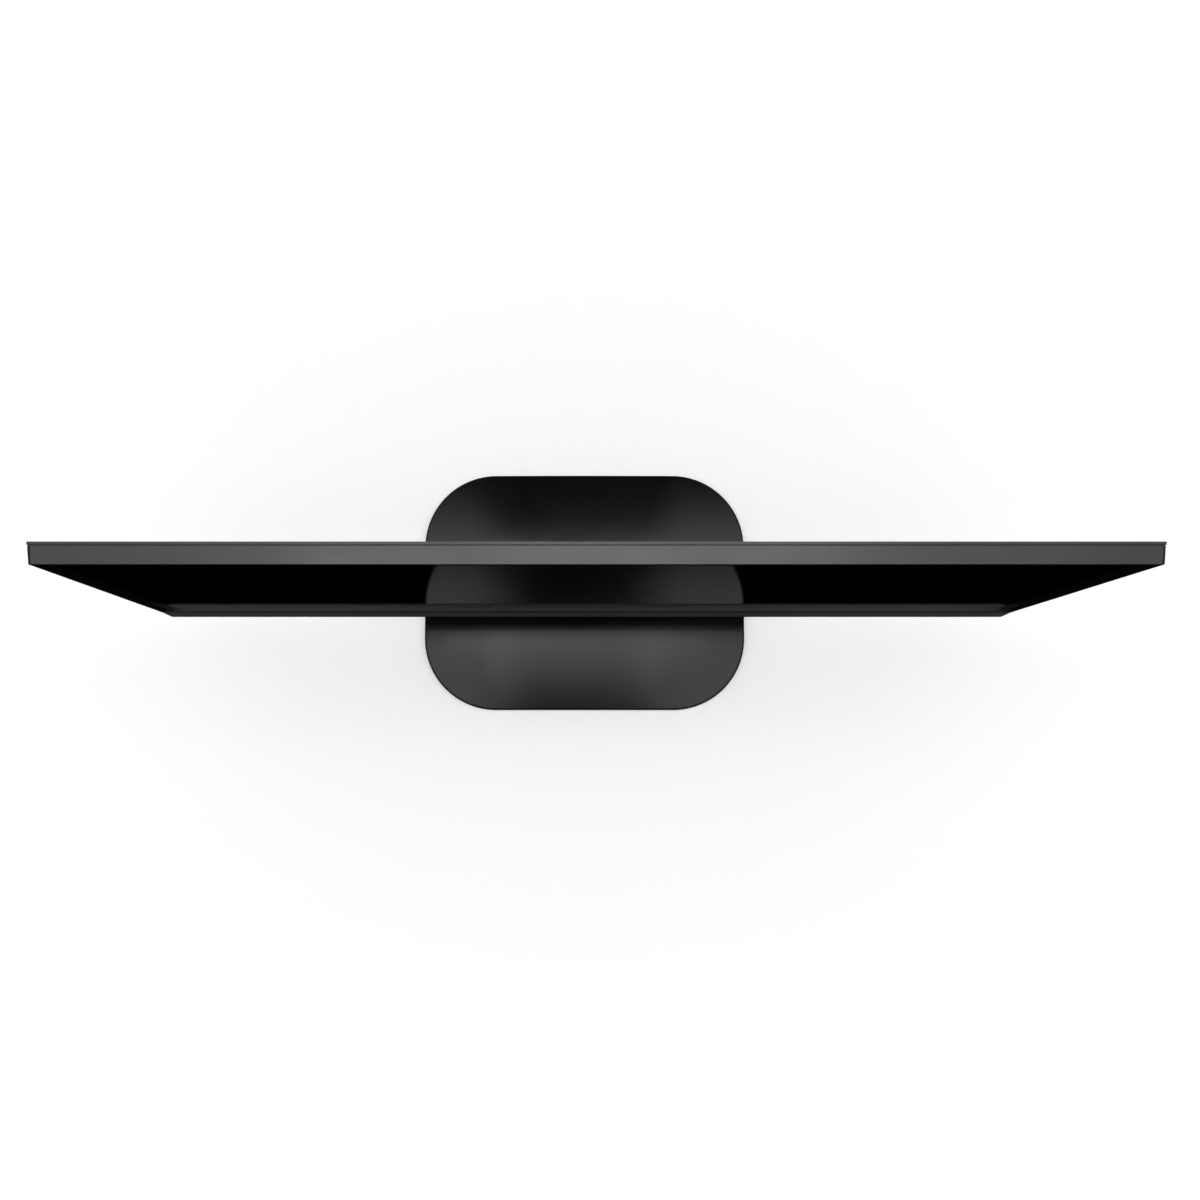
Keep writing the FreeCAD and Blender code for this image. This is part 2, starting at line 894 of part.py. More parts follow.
def make_posts():
    """Four threaded steel posts, flush with the flat back."""
    posts = []
    for i, at in enumerate(VESA_POSTS):
        post = rod(f"post_{i}", "y", "vesa_post_r", ("tray_back", "back_y"), at)
        thread = rod(
            f"post_thread_{i}",
            "y",
            "vesa_hole_r",
            ("back_y - vesa_hole_deep", "back_y + 1"),
            at,
        )
        posts.append(cut(f"post_drilled_{i}", post, thread))
    node(group("posts", posts), "vesa_posts")


BOARD_POSTS = [
    (x, z)
    for x in ("board_out_x + board_post_in", "board_in_x - board_post_in")
    for z in ("bracket_low + board_post_in", "board_high - board_post_in")
]


def on_board(axis, share, size):
    """A span that starts at a share of the main board's width or height."""
    start = {
        "x": f"board_out_x + {share} * main_board_wide",
        "z": f"board_low + {share} * main_board_tall",
    }[axis]
    return (start, f"{start} + {size}")


def make_main_board():
    plate = block(
        "bracket_plate",
        ("board_out_x", "board_in_x"),
        ("tray_back", "tray_back + bracket_thick"),
        ("bracket_low", "board_high"),
    )
    posts = [
        rod(f"board_post_{i}", "y", "board_post_r", ("tray_back", "board_front"), at)
        for i, at in enumerate(BOARD_POSTS)
    ]
    threads = [
        rod(
            f"board_thread_{i}",
            "y",
            "board_screw_r + screw_play",
            ("tray_back", "board_front + 1"),
            at,
        )
        for i, at in enumerate(BOARD_POSTS)
    ]
    stood = fuse("bracket_stood", plate, *posts)
    node(cut("bracket_cut", stood, *threads), "board_bracket")
    board = block(
        "board_plate",
        ("board_out_x", "board_in_x"),
        ("board_front", "board_back"),
        ("board_low", "board_high"),
    )
    drilled = [
        rod(
            f"board_hole_{i}",
            "y",
            "board_screw_r + screw_play",
            ("board_front - 1", "board_back + 1"),
            at,
        )
        for i, at in enumerate(BOARD_POSTS)
    ]
    node(cut("board_cut", board, *drilled), "main_board")
    screws = [
        screw(
            f"board_screw_{i}",
            "board_screw_r",
            "board_screw_head",
            "board_back",
            "board_back - board_post_long",
            "board_back + board_screw_head / 2",
            at,
        )
        for i, at in enumerate(BOARD_POSTS)
    ]
    node(group("board_screw_set", screws), "board_screws")
    chips = [
        block(
            f"chip_{i}",
            on_board("x", x, f"{size} * chip_wide"),
            ("board_back", "board_back + chip_tall"),
            on_board("z", z, f"{size} * chip_wide"),
        )
        for i, (x, z, size) in enumerate(
            [
                (0.40, 0.37, 1.0),
                (0.76, 0.41, 0.5),
                (0.16, 0.74, 0.4),
                (0.47, 0.70, 0.6),
            ]
        )
    ]
    node(group("chips", chips), "board_chips")
    cans = [
        rod(
            f"can_{i}",
            "y",
            "capacitor_r",
            ("board_back", "board_back + capacitor_tall"),
            (on_board("x", x, "0")[0], on_board("z", z, "0")[0]),
        )
        for i, (x, z) in enumerate([(0.16, 0.43), (0.16, 0.56), (0.32, 0.85), (0.87, 0.74)])
    ]
    node(group("cans", cans), "capacitors")


def socket(name, x, wide, thick, tongue):
    """A metal-shelled socket that opens downwards, with its contact tongue."""
    shell = block(
        f"{name}_shell",
        (f"{x} - {wide} / 2", f"{x} + {wide} / 2"),
        ("board_back", f"board_back + {thick}"),
        ("socket_low", "socket_low + socket_long"),
    )
    hole = block(
        f"{name}_hole",
        (f"{x} - {wide} / 2 + socket_wall", f"{x} + {wide} / 2 - socket_wall"),
        ("board_back + socket_wall", f"board_back + {thick} - socket_wall"),
        ("socket_low - 1", "socket_low + socket_deep"),
    )
    blade = block(
        f"{name}_blade",
        (f"{x} - {wide} * {tongue} / 2", f"{x} + {wide} * {tongue} / 2"),
        (f"board_back + {thick} - 3 * socket_wall", f"board_back + {thick} - socket_wall"),
        ("socket_low + 2 * socket_wall", "socket_low + socket_deep + socket_wall"),
    )
    return fuse(f"{name}_built", cut(f"{name}_tube", shell, hole), blade)


def round_socket(name, bore_r):
    """A moulded case that opens downwards through a round bore."""
    x, wide, thick = SOCKETS[name]
    case = block(
        f"{name}_case",
        (f"{x} - {wide} / 2", f"{x} + {wide} / 2"),
        ("board_back", f"board_back + {thick}"),
        ("socket_low", "socket_low + socket_long"),
    )
    middle = (x, f"board_back + {thick} / 2")
    bore = rod(f"{name}_bore", "z", bore_r, ("socket_low - 1", "socket_low + socket_deep"), middle)
    return cut(f"{name}_drilled", case, bore), middle


def make_sockets():
    pair = [socket(name, *SOCKETS[name], 0.7) for name in ("hdmi_one", "hdmi_two")]
    node(group("hdmi_pair", pair), "hdmi_sockets")
    node(socket("displayport", *SOCKETS["displayport"], 0.8), "displayport_socket")
    case, middle = round_socket("power", "power_r")
    pin = rod(
        "power_pin",
        "z",
        "power_pin_r",
        ("socket_low + power_pin_r", "socket_low + socket_deep + power_pin_r"),
        middle,
    )
    node(fuse("power_built", case, pin), "dc_jack")
    node(round_socket("audio", "audio_r")[0], "audio_jack")


def make_leads():
    """Flat leads clipped between the boards inside the housing."""
    ribbon_x = "-source_wide / 2 + ribbon_in"
    ribbon_z = "board_low + ribbon_up"
    ribbon = prism(
        "ribbon_strip",
        "YZ",
        [
            ("source_back", "source_high - source_tall / 4"),
            ("source_back + flex_thick", "source_high - source_tall / 4"),
            ("source_back + flex_thick", ribbon_z),
            ("board_front", ribbon_z),
            ("board_front", f"{ribbon_z} + flex_thick"),
            ("source_back", f"{ribbon_z} + flex_thick"),
        ],
        ribbon_x,
        f"{ribbon_x} + ribbon_wide",
    )
    node(ribbon, "panel_ribbon")


def make_pod():
    """The small housing under the lower edge, set back and bored for the joystick."""
    points = rectangle("pod_wide / 2", "pod_front", "pod_front + pod_deep")
    tab = prism("pod_tab", "XY", points, "pod_low", "panel_low")
    round_edges(tab, upright, "pod_round")
    bore = rod(
        "pod_bore", "z", "pod_hole_r", ("pod_low - 1", "panel_low + 1"), ("0", "stick_y")
    )
    pipe_hole = rod(
        "pod_pipe_hole",
        "z",
        "pipe_r + pin_play",
        ("pod_low - 1", "panel_low + 1"),
        ("pipe_side", "stick_y"),
    )
    node(cut("pod_cut", tab, bore, pipe_hole), "control_pod")
    node(
        rod("pipe", "z", "pipe_r", ("pod_low", "panel_low"), ("pipe_side", "stick_y")),
        "status_light_pipe",
    )


def make_joystick():
    half_y = "switch_thick / 2"
    case = block(
        "switch_case",
        ("-switch_wide / 2", "switch_wide / 2"),
        (f"stick_y - {half_y}", f"stick_y + {half_y}"),
        ("switch_low", "switch_high"),
    )
    room = block(
        "switch_room",
        ("-switch_wide / 2 + switch_wall", "switch_wide / 2 - switch_wall"),
        (f"stick_y - {half_y} + switch_wall", f"stick_y + {half_y} - switch_wall"),
        ("switch_low - 1", "switch_high - switch_wall"),
    )
    bearing = rod(
        "switch_bearing",
        "y",
        "ring_pin_r + pin_play",
        (f"stick_y - {half_y} - 1", f"stick_y + {half_y} + 1"),
        ("0", "stick_z"),
    )
    node(cut("switch_cut", case, room, bearing), "joystick_switch")
    node(
        block(
            "key_plate",
            ("-key_board_wide / 2", "key_board_wide / 2"),
            (f"stick_y - {half_y}", f"stick_y + {half_y}"),
            ("switch_high", "switch_high + board_thick"),
        ),
        "key_board",
    )
    span = ("stick_z - ring_tall / 2", "stick_z + ring_tall / 2")
    centre = ("0", "stick_y")
    disc = rod("ring_disc", "z", "ring_r", span, centre)
    pins = rod(
        "ring_pins",
        "y",
        "ring_pin_r",
        (f"stick_y - {half_y} + switch_wall / 2", f"stick_y + {half_y} - switch_wall / 2"),
        ("0", "stick_z"),
    )
    bore = rod(
        "ring_bore",
        "z",
        "ring_bore_r",
        ("stick_z - ring_tall", "stick_z + ring_tall"),
        centre,
    )
    cross = rod(
        "ring_cross_hole",
        "x",
        "stick_pin_r + pin_play",
        ("-ring_r - 1", "ring_r + 1"),
        ("stick_y", "stick_z"),
    )
    node(cut("ring_cut", fuse("ring_pinned", disc, pins), bore, cross), "joystick_ring")
    stem = rod("stick_stem", "z", "stick_r", ("stick_bottom", "stick_z + stick_over"), centre)
    pin = rod(
        "stick_pin",
        "x",
        "stick_pin_r",
        ("-ring_r + pin_play", "ring_r - pin_play"),
        ("stick_y", "stick_z"),
    )
    node(fuse("stick_built", stem, pin), "joystick_stem")
    knob_top = "knob_low + knob_tall"
    knob = rod("knob_disc", "z", "knob_r", ("knob_low", knob_top), centre)
    sleeve = rod(
        "knob_sleeve",
        "z",
        "knob_sleeve_r",
        ("knob_low", f"{knob_top} + knob_sleeve_tall"),
        centre,
    )
    blind = rod(
        "knob_bore",
        "z",
        "stick_r + knob_play",
        ("knob_low + knob_floor / 2", f"{knob_top} + knob_sleeve_tall + 1"),
        centre,
    )
    dish = doc.addObject("Part::Sphere", "knob_dish")
    dish.setExpression("Radius", bound("2 * knob_r"))
    put(dish, "0", "stick_y", "knob_low - 2 * knob_r + knob_floor / 4")
    node(cut("knob_cut", fuse("knob_built", knob, sleeve), blind, dish), "joystick_cap")


def both_sides(make):
    """The piece on the right and its twin on the left."""
    return [make("right", 1), make("left", -1)]


def side_span(sign, inner, outer):
    """The low and high place of a span that lies on the right or the left."""
    if sign > 0:
        return (inner, outer)
    return (f"-({outer})", f"-({inner})")


def make_hinge():
    pivot = ("pivot_y", "pivot_high")
    plate = block(
        "hinge_plate",
        ("-hinge_plate_wide / 2", "hinge_plate_wide / 2"),
        ("skin_back", "hinge_plate_back"),
        ("hinge_plate_low", "hinge_plate_high"),
    )

    def ear(name, sign):
        span = side_span(sign, "half_ear_in", "half_ear_out")
        arm = block(
            f"ear_arm_{name}",
            span,
            ("skin_back", "pivot_y"),
            ("pivot_high - ear_r", "pivot_high + ear_r"),
        )
        end = rod(f"ear_end_{name}", "x", "ear_r", span, pivot)
        return fuse(f"ear_{name}", arm, end)

    bore = rod(
        "ear_bore",
        "x",
        "shaft_r + shaft_play",
        ("-half_ear_out - 1", "half_ear_out + 1"),
        pivot,
    )
    sinks = []
    for i, at in enumerate(HINGE_SCREWS):
        sinks.append(
            rod(
                f"hinge_hole_{i}",
                "y",
                "hinge_screw_r + screw_play",
                ("skin_back - 1", "hinge_plate_back + 1"),
                at,
            )
        )
        sinks.append(
            rod(
                f"hinge_sink_{i}",
                "y",
                "hinge_screw_head + screw_play",
                ("skin_back + hinge_plate_thick / 4", "hinge_plate_back + 1"),
                at,
            )
        )
    built = fuse("bracket_built", plate, *both_sides(ear))
    node(cut("hinge_bracket_cut", built, bore, *sinks), "hinge_bracket")
    screws = [
        screw(
            f"hinge_screw_{i}",
            "hinge_screw_r",
            "hinge_screw_head",
            "skin_back + hinge_plate_thick / 4",
            "tray_front + screw_play",
            "hinge_plate_back",
            at,
        )
        for i, at in enumerate(HINGE_SCREWS)
    ]
    node(group("hinge_screw_set", screws), "hinge_screws")
    node(
        rod("shaft", "x", "shaft_r", ("-nut_out", "nut_out"), pivot),
        "hinge_shaft",
    )

    def collar(kind, radius, inner, outer):
        def make(name, sign):
            span = side_span(sign, inner, outer)
            disc = rod(f"{kind}_disc_{name}", "x", radius, span, pivot)
            wider = side_span(sign, f"{inner} - 1", f"{outer} + 1")
            hole = rod(f"{kind}_hole_{name}", "x", "shaft_r", wider, pivot)
            return cut(f"{kind}_{name}", disc, hole)

        return group(f"{kind}_pair", both_sides(make))

    node(collar("washer", "washer_r", "half_ear_out", "lug_in"), "hinge_washers")
    node(collar("spring", "spring_r", "lug_out", "spring_out"), "disc_springs")
    node(collar("nut", "nut_r", "spring_out", "nut_out"), "hinge_nuts")


def neck_form(name, inset):
    """The neck's solid form, tapered in side view and round at the hinge."""
    side = f"half_neck - {inset}"
    radius = f"neck_top_r - {inset}"
    points = [
        (f"neck_front + {inset}", "well_top"),
        (f"neck_rear - {inset}", "well_top"),
        (f"pivot_y + {radius}", "pivot_high"),
        (f"pivot_y - ({radius})", "pivot_high"),
    ]
    column = prism(f"{name}_column", "YZ", points, f"-({side})", side)
    top = rod(
        f"{name}_top", "x", radius, (f"-({side})", side), ("pivot_y", "pivot_high")
    )
    return fuse(name, column, top)


NECK_SCREW_Z = ["neck_screw_low", "neck_screw_low + neck_screw_step"]


def make_neck():
    outer = neck_form("neck_outer", "0")
    inner = neck_form("neck_inner", "neck_wall")
    tube = cut("neck_tube", outer, inner)
    front_half = block(
        "neck_front_half",
        ("-neck_wide", "neck_wide"),
        ("-neck_wide", "neck_split"),
        ("0", "2 * pivot_high"),
    )
    rear_half = block(
        "neck_rear_half",
        ("-neck_wide", "neck_wide"),
        ("neck_split", "neck_wide"),
        ("0", "2 * pivot_high"),
    )
    slots = [
        block(
            f"ear_slot_{i}",
            side_span(sign, "half_ear_in - ear_slot_play", "half_ear_out + ear_slot_play"),
            ("-neck_wide", "neck_split"),
            ("pivot_high - ear_slot_down", "pivot_high + 2 * neck_top_r"),
        )
        for i, sign in enumerate((1, -1))
    ]
    front = common("neck_front_solid", tube, front_half)
    node(cut("neck_front_cut", front, *slots), "neck_front_shell")

    screw_seat = "neck_rear - neck_screw_sunk"
    bosses = [
        rod(
            f"neck_boss_{i}",
            "y",
            "neck_screw_head + boss_wall",
            ("web_front + web_thick", "neck_rear"),
            ("0", z),
        )
        for i, z in enumerate(NECK_SCREW_Z)
    ]
    bosses_inside = common("neck_bosses", fuse("neck_boss_set", *bosses), outer)
    rear = fuse("neck_rear_solid", common("neck_rear_wall", tube, rear_half), bosses_inside)
    holes = []
    for i, z in enumerate(NECK_SCREW_Z):
        holes.append(
            rod(f"neck_hole_{i}", "y", "neck_screw_r + screw_play", ("0", "neck_wide"), ("0", z))
        )
        holes.append(
            rod(
                f"neck_sink_{i}",
                "y",
                "neck_screw_head + screw_play",
                (screw_seat, "neck_wide"),
                ("0", z),
            )
        )
    node(cut("neck_rear_cut", rear, *holes), "neck_rear_shell")
    screws = [
        screw(
            f"neck_screw_{i}",
            "neck_screw_r",
            "neck_screw_head",
            screw_seat,
            "web_front",
            f"{screw_seat} + neck_screw_r",
            ("0", z),
        )
        for i, z in enumerate(NECK_SCREW_Z)
    ]
    node(group("neck_screw_set", screws), "neck_screws")


def make_neck_core():
    """Steel core: foot block, cross web and two lugs that carry the shaft."""
    foot = block(
        "core_foot",
        ("-foot_block_wide / 2", "foot_block_wide / 2"),
        ("neck_front + foot_block_in", "neck_rear - foot_block_in"),
        ("well_top", "block_top"),
    )
    web = block(
        "core_web",
        ("-lug_out", "lug_out"),
        ("web_front", "web_front + web_thick"),
        ("well_top", "pivot_high - web_top"),
    )

    def lug(name, sign):
        low, high = side_span(sign, "lug_in", "lug_out")
        points = [
            ("neck_front + foot_block_in + neck_wall", "well_top"),
            ("neck_rear - foot_block_in - neck_wall", "well_top"),
            ("pivot_y + ear_r", "pivot_high"),
            ("pivot_y - ear_r", "pivot_high"),
        ]
        plate = prism(f"lug_plate_{name}", "YZ", points, low, high)
        end = rod(f"lug_end_{name}", "x", "ear_r", (low, high), ("pivot_y", "pivot_high"))
        return fuse(f"lug_{name}", plate, end)

    bore = rod(
        "core_bore", "x", "shaft_r", ("-lug_out - 1", "lug_out + 1"), ("pivot_y", "pivot_high")
    )
    thread = rod("core_thread", "z", "bolt_r", ("well_top - 1", "block_top + 1"), ("0", "neck_mid"))
    taps = [
        rod(
            f"core_tap_{i}",
            "y",
            "neck_screw_r + screw_play",
            ("web_front - 1", "web_front + web_thick + 1"),
            ("0", z),
        )
        for i, z in enumerate(NECK_SCREW_Z)
    ]
    built = fuse("core_built", foot, web, *both_sides(lug))
    node(cut("core_cut", built, bore, thread, *taps), "neck_core")


BASE_SCREWS = [
    (f"{side} * base_screw_side", f"{fore} * base_screw_fore")
    for side in (-1, 1)
    for fore in (-1, 1)
]


def dome(name, inset):
    """A ball whose top is the base's gentle crown, turned so its seam lies below."""
    ball = doc.addObject("Part::Sphere", name)
    ball.Placement = FreeCAD.Placement(V(), TURNS["x"])
    ball.setExpression("Radius", bound(f"dome_r - {inset}"))
    return put(ball, "0", "0", "dome_top - dome_r")


def make_base():
    half_x = "base_wide / 2"
    half_y = "base_deep / 2"
    slab = rounded_block(
        "base_slab", half_x, half_y, "base_corner", "skirt_gap", "dome_top + 1"
    )
    crowned = common("base_crowned", slab, dome("base_dome", "0"))
    doc.recompute()
    rounded = doc.addObject("Part::Fillet", "base_rounded")
    rounded.Base = crowned
    crown_edges = []
    for i, edge in enumerate(crowned.Shape.Edges, start=1):
        box = edge.BoundBox
        if box.ZMin > number("skirt_gap") + 1 and (box.XLength > 1 or box.YLength > 1):
            crown_edges.append((i, number("base_edge_round"), number("base_edge_round")))
    rounded.Edges = crown_edges
    room = rounded_block(
        "base_room_block",
        f"{half_x} - base_wall",
        f"{half_y} - base_wall",
        "base_corner - base_wall",
        "skirt_gap - 1",
        "dome_top",
    )
    hollow = common("base_room", room, dome("base_room_dome", "base_wall"))
    opening = block(
        "base_opening",
        ("-half_neck - post_play", "half_neck + post_play"),
        ("neck_front - 2 * post_play", "neck_rear + post_play"),
        ("skirt_gap", "dome_top + 2"),
    )
    shell = cut("base_opened", cut("base_shell", rounded, hollow), opening)
    bosses = []
    for i, at in enumerate(BASE_SCREWS):
        boss = rod(
            f"base_boss_{i}",
            "z",
            "base_screw_r + 2 * boss_wall",
            ("plate_top", "plate_top + base_screw_long"),
            at,
        )
        hole = rod(
            f"base_screw_hole_{i}",
            "z",
            "base_screw_r + screw_play",
            ("plate_top - 1", "plate_top + base_screw_long - base_wall / 2"),
            at,
        )
        bosses.append(cut(f"base_boss_drilled_{i}", boss, hole))
    node(fuse("base_cover_built", shell, *bosses), "base_cover")

    plate = rounded_block(
        "plate_slab",
        f"{half_x} - inset",
        f"{half_y} - inset",
        "base_corner - inset",
        "foot_tall",
        "plate_top",
    )
    centre = ("0", "neck_mid")
    tower = rod("well_tower", "z", "well_r + plate_thick", ("foot_tall", "well_top"), centre)
    well = rod("well_room", "z", "well_r", ("foot_tall - 1", "well_roof"), centre)
    bolt_hole = rod(
        "well_bolt_hole", "z", "bolt_r + bolt_play", ("foot_tall", "well_top + 1"), centre
    )
    screw_holes = [
        rod(
            f"plate_screw_hole_{i}",
            "z",
            "base_screw_r + screw_play",
            ("foot_tall - 1", "plate_top + 1"),
            at,
        )
        for i, at in enumerate(BASE_SCREWS)
    ]
    pressed = fuse("plate_pressed", plate, tower)
    node(cut("plate_cut", pressed, well, bolt_hole, *screw_holes), "base_plate")

    places = [
        (f"{side} * foot_side", f"{fore} * foot_fore") for side in (-1, 1) for fore in (-1, 1)
    ]
    places.append(("0", "-base_deep / 2 + 2 * foot_r"))
    feet = [
        rod(f"foot_{i}", "z", "foot_r", ("0", "foot_tall"), at) for i, at in enumerate(places)
    ]
    node(group("foot_set", feet), "base_feet")
    screws = []
    for i, at in enumerate(BASE_SCREWS):
        shank = rod(
            f"base_screw_shank_{i}",
            "z",
            "base_screw_r",
            ("foot_tall", "plate_top + base_screw_long - base_wall"),
            at,
        )
        head = rod(
            f"base_screw_head_{i}",
            "z",
            "base_screw_head",
            ("foot_tall - base_screw_head_tall", "foot_tall"),
            at,
        )
        screws.append(fuse(f"base_screw_{i}", shank, head))
    node(group("base_screw_set", screws), "base_screws")


def make_bolt():
    """The coin-slotted bolt that joins base and neck."""
    centre = ("0", "neck_mid")
    head = rod("bolt_head", "z", "bolt_head_r", ("well_roof - bolt_head_tall", "well_roof"), centre)
    shank = rod("bolt_shank", "z", "bolt_r", ("well_roof", "block_top"), centre)
    slot = block(
        "bolt_slot",
        ("-bolt_head_r - 1", "bolt_head_r + 1"),
        ("neck_mid - bolt_slot_wide / 2", "neck_mid + bolt_slot_wide / 2"),
        ("well_roof - bolt_head_tall - 1", "well_roof - bolt_head_tall + bolt_slot_deep"),
    )
    node(cut("bolt_cut", fuse("bolt_built", head, shank), slot), "base_bolt")


make_front_bezel()
make_chin()
make_screen()
make_backlight()
make_drivers()
make_rear_cover()
make_cover_screws()
make_posts()
make_main_board()
make_sockets()
make_leads()
make_pod()
make_joystick()
make_hinge()
make_neck()
make_neck_core()
make_base()
make_bolt()

doc.recompute()
broken = [
    item.Name for item in doc.Objects if "Invalid" in item.State or "Error" in item.State
]
if broken:
    raise SystemExit(f"these objects failed: {broken}")
for part in parts:
    if part.Shape.isNull() or not part.Shape.isValid() or not part.Shape.Solids:
        raise SystemExit(f"{part.Label} has no sound shape")

os.makedirs("parts", exist_ok=True)
for part in parts:
    part.Shape.exportStep(f"parts/{part.Label}.step")
    print(part.Label, len(part.Shape.Solids), round(part.Shape.Volume / 1000, 2), "cm3")
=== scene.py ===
import bmesh
import bpy
import json
import math
from mathutils import Matrix, Vector


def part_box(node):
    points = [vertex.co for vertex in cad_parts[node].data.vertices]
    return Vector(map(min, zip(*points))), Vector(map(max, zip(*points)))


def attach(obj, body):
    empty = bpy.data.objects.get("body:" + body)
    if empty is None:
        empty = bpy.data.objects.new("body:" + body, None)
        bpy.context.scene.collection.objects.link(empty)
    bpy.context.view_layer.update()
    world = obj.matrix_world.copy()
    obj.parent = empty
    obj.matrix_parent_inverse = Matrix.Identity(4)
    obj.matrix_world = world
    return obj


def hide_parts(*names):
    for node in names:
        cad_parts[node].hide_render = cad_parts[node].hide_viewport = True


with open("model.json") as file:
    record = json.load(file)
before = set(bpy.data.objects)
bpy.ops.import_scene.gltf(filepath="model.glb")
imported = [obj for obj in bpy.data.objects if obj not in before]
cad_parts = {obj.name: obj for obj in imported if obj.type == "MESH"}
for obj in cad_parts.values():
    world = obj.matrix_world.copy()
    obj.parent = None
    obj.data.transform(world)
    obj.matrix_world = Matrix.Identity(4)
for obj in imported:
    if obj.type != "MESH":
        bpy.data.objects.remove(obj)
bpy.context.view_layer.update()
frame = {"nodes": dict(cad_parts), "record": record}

MM = 0.001
nodes = frame["nodes"]


def linear(code):
    """An sRGB hex colour as linear red, green, blue and alpha."""
    parts = [int(code[i : i + 2], 16) / 255 for i in (1, 3, 5)]
    curve = [c / 12.92 if c <= 0.04045 else ((c + 0.055) / 1.055) ** 2.4 for c in parts]
    return (*curve, 1.0)


def wire(tree, node, links):
    """Joins outputs of other nodes to the inputs of a node, given by name or number."""
    for name, source in links.items():
        tree.links.new(source, node.inputs[name])


def add_node(tree, kind, settings=None, links=None):
    """Adds a node. Its settings are properties or the values of its inputs."""
    made = tree.nodes.new(kind)
    for name, value in (settings or {}).items():
        if isinstance(name, str) and hasattr(made, name):
            setattr(made, name, value)
        else:
            made.inputs[name].default_value = value
    wire(tree, made, links or {})
    return made


def per_metre(millimetres):
    """The scale of a pattern whose features repeat at a real size in millimetres."""
    return 1.0 / (millimetres * MM)


def new_material(name, colour, roughness, metallic=0.0, ior=1.5):
    """A plain material, its node tree, its shader and the place on the object."""
    material = bpy.data.materials.new(name)
    material.use_nodes = True
    tree = material.node_tree
    shader = tree.nodes["Principled BSDF"]
    shader.inputs["Base Color"].default_value = linear(colour)
    shader.inputs["Roughness"].default_value = roughness
    shader.inputs["Metallic"].default_value = metallic
    if metallic == 0:
        shader.inputs["IOR"].default_value = ior
    material.diffuse_color = linear(colour)
    place = add_node(tree, "ShaderNodeTexCoord").outputs["Object"]
    return material, tree, shader, place


# Most values of a noise texture lie between these two.
NOISE_SPAN = {"From Min": 0.35, "From Max": 0.65}
FLOW_MARKS_MM = 60.0


def moulded_plastic(name, colour, lighter, roughness, grain_mm, strength=0.25, depth_mm=0.02):
    """Black plastic, mostly ABS, from a spark-eroded mould: a fine even grain breaks
    the highlight into a soft satin, and broad flow marks shift its gloss."""
    material, tree, shader, place = new_material(name, colour, roughness)
    grain = add_node(
        tree, "ShaderNodeTexNoise",
        {"Scale": per_metre(grain_mm), "Detail": 3.0}, {"Vector": place},
    )
    fleck = add_node(tree, "ShaderNodeMapRange", NOISE_SPAN, {"Value": grain.outputs["Fac"]})
    tint = add_node(
        tree, "ShaderNodeMix",
        {"data_type": "RGBA", "A": linear(colour), "B": linear(lighter)},
        {"Factor": fleck.outputs["Result"]},
    )
    drawn = add_node(tree, "ShaderNodeMapping", {"Scale": (1.0, 1.0, 3.0)}, {"Vector": place})
    flow = add_node(
        tree, "ShaderNodeTexNoise",
        {"Scale": per_metre(FLOW_MARKS_MM)}, {"Vector": drawn.outputs["Vector"]},
    )
    gloss = add_node(
        tree, "ShaderNodeMapRange",
        {**NOISE_SPAN, "To Min": 0.9 * roughness, "To Max": 1.1 * roughness},
        {"Value": flow.outputs["Fac"]},
    )
    bump = add_node(
        tree, "ShaderNodeBump",
        {"Strength": strength, "Distance": depth_mm * MM}, {"Height": grain.outputs["Fac"]},
    )
    wire(tree, shader, {
        "Base Color": tint.outputs["Result"],
        "Roughness": gloss.outputs["Result"],
        "Normal": bump.outputs["Normal"],
    })
    return material


def polariser_film(name):
    """A dark glossy polariser on glass. Its mirror is clear, and a narrow band at
    the rim, outside the lit area, is a deeper black than the cell."""
    material, tree, shader, place = new_material(name, "#050506", 0.03, ior=1.45)
    rim_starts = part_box("front_polarizer")[1].x - 3.0 * MM
    split = add_node(tree, "ShaderNodeSeparateXYZ", links={"Vector": place})
    sideways = add_node(
        tree, "ShaderNodeMath", {"operation": "ABSOLUTE"}, {0: split.outputs["X"]}
    )
    rim = add_node(
        tree, "ShaderNodeMath",
        {"operation": "GREATER_THAN", 1: rim_starts}, {0: sideways.outputs["Value"]},
    )
    tint = add_node(
        tree, "ShaderNodeMix",
        {"data_type": "RGBA", "A": linear("#060607"), "B": linear("#010101")},
        {"Factor": rim.outputs["Value"]},
    )
    haze = add_node(tree, "ShaderNodeTexNoise", {"Scale": per_metre(0.6)}, {"Vector": place})
    gloss = add_node(
        tree, "ShaderNodeMapRange",
        {**NOISE_SPAN, "To Min": 0.025, "To Max": 0.05}, {"Value": haze.outputs["Fac"]},
    )
    wire(tree, shader, {
        "Base Color": tint.outputs["Result"],
        "Roughness": gloss.outputs["Result"],
    })
    return material


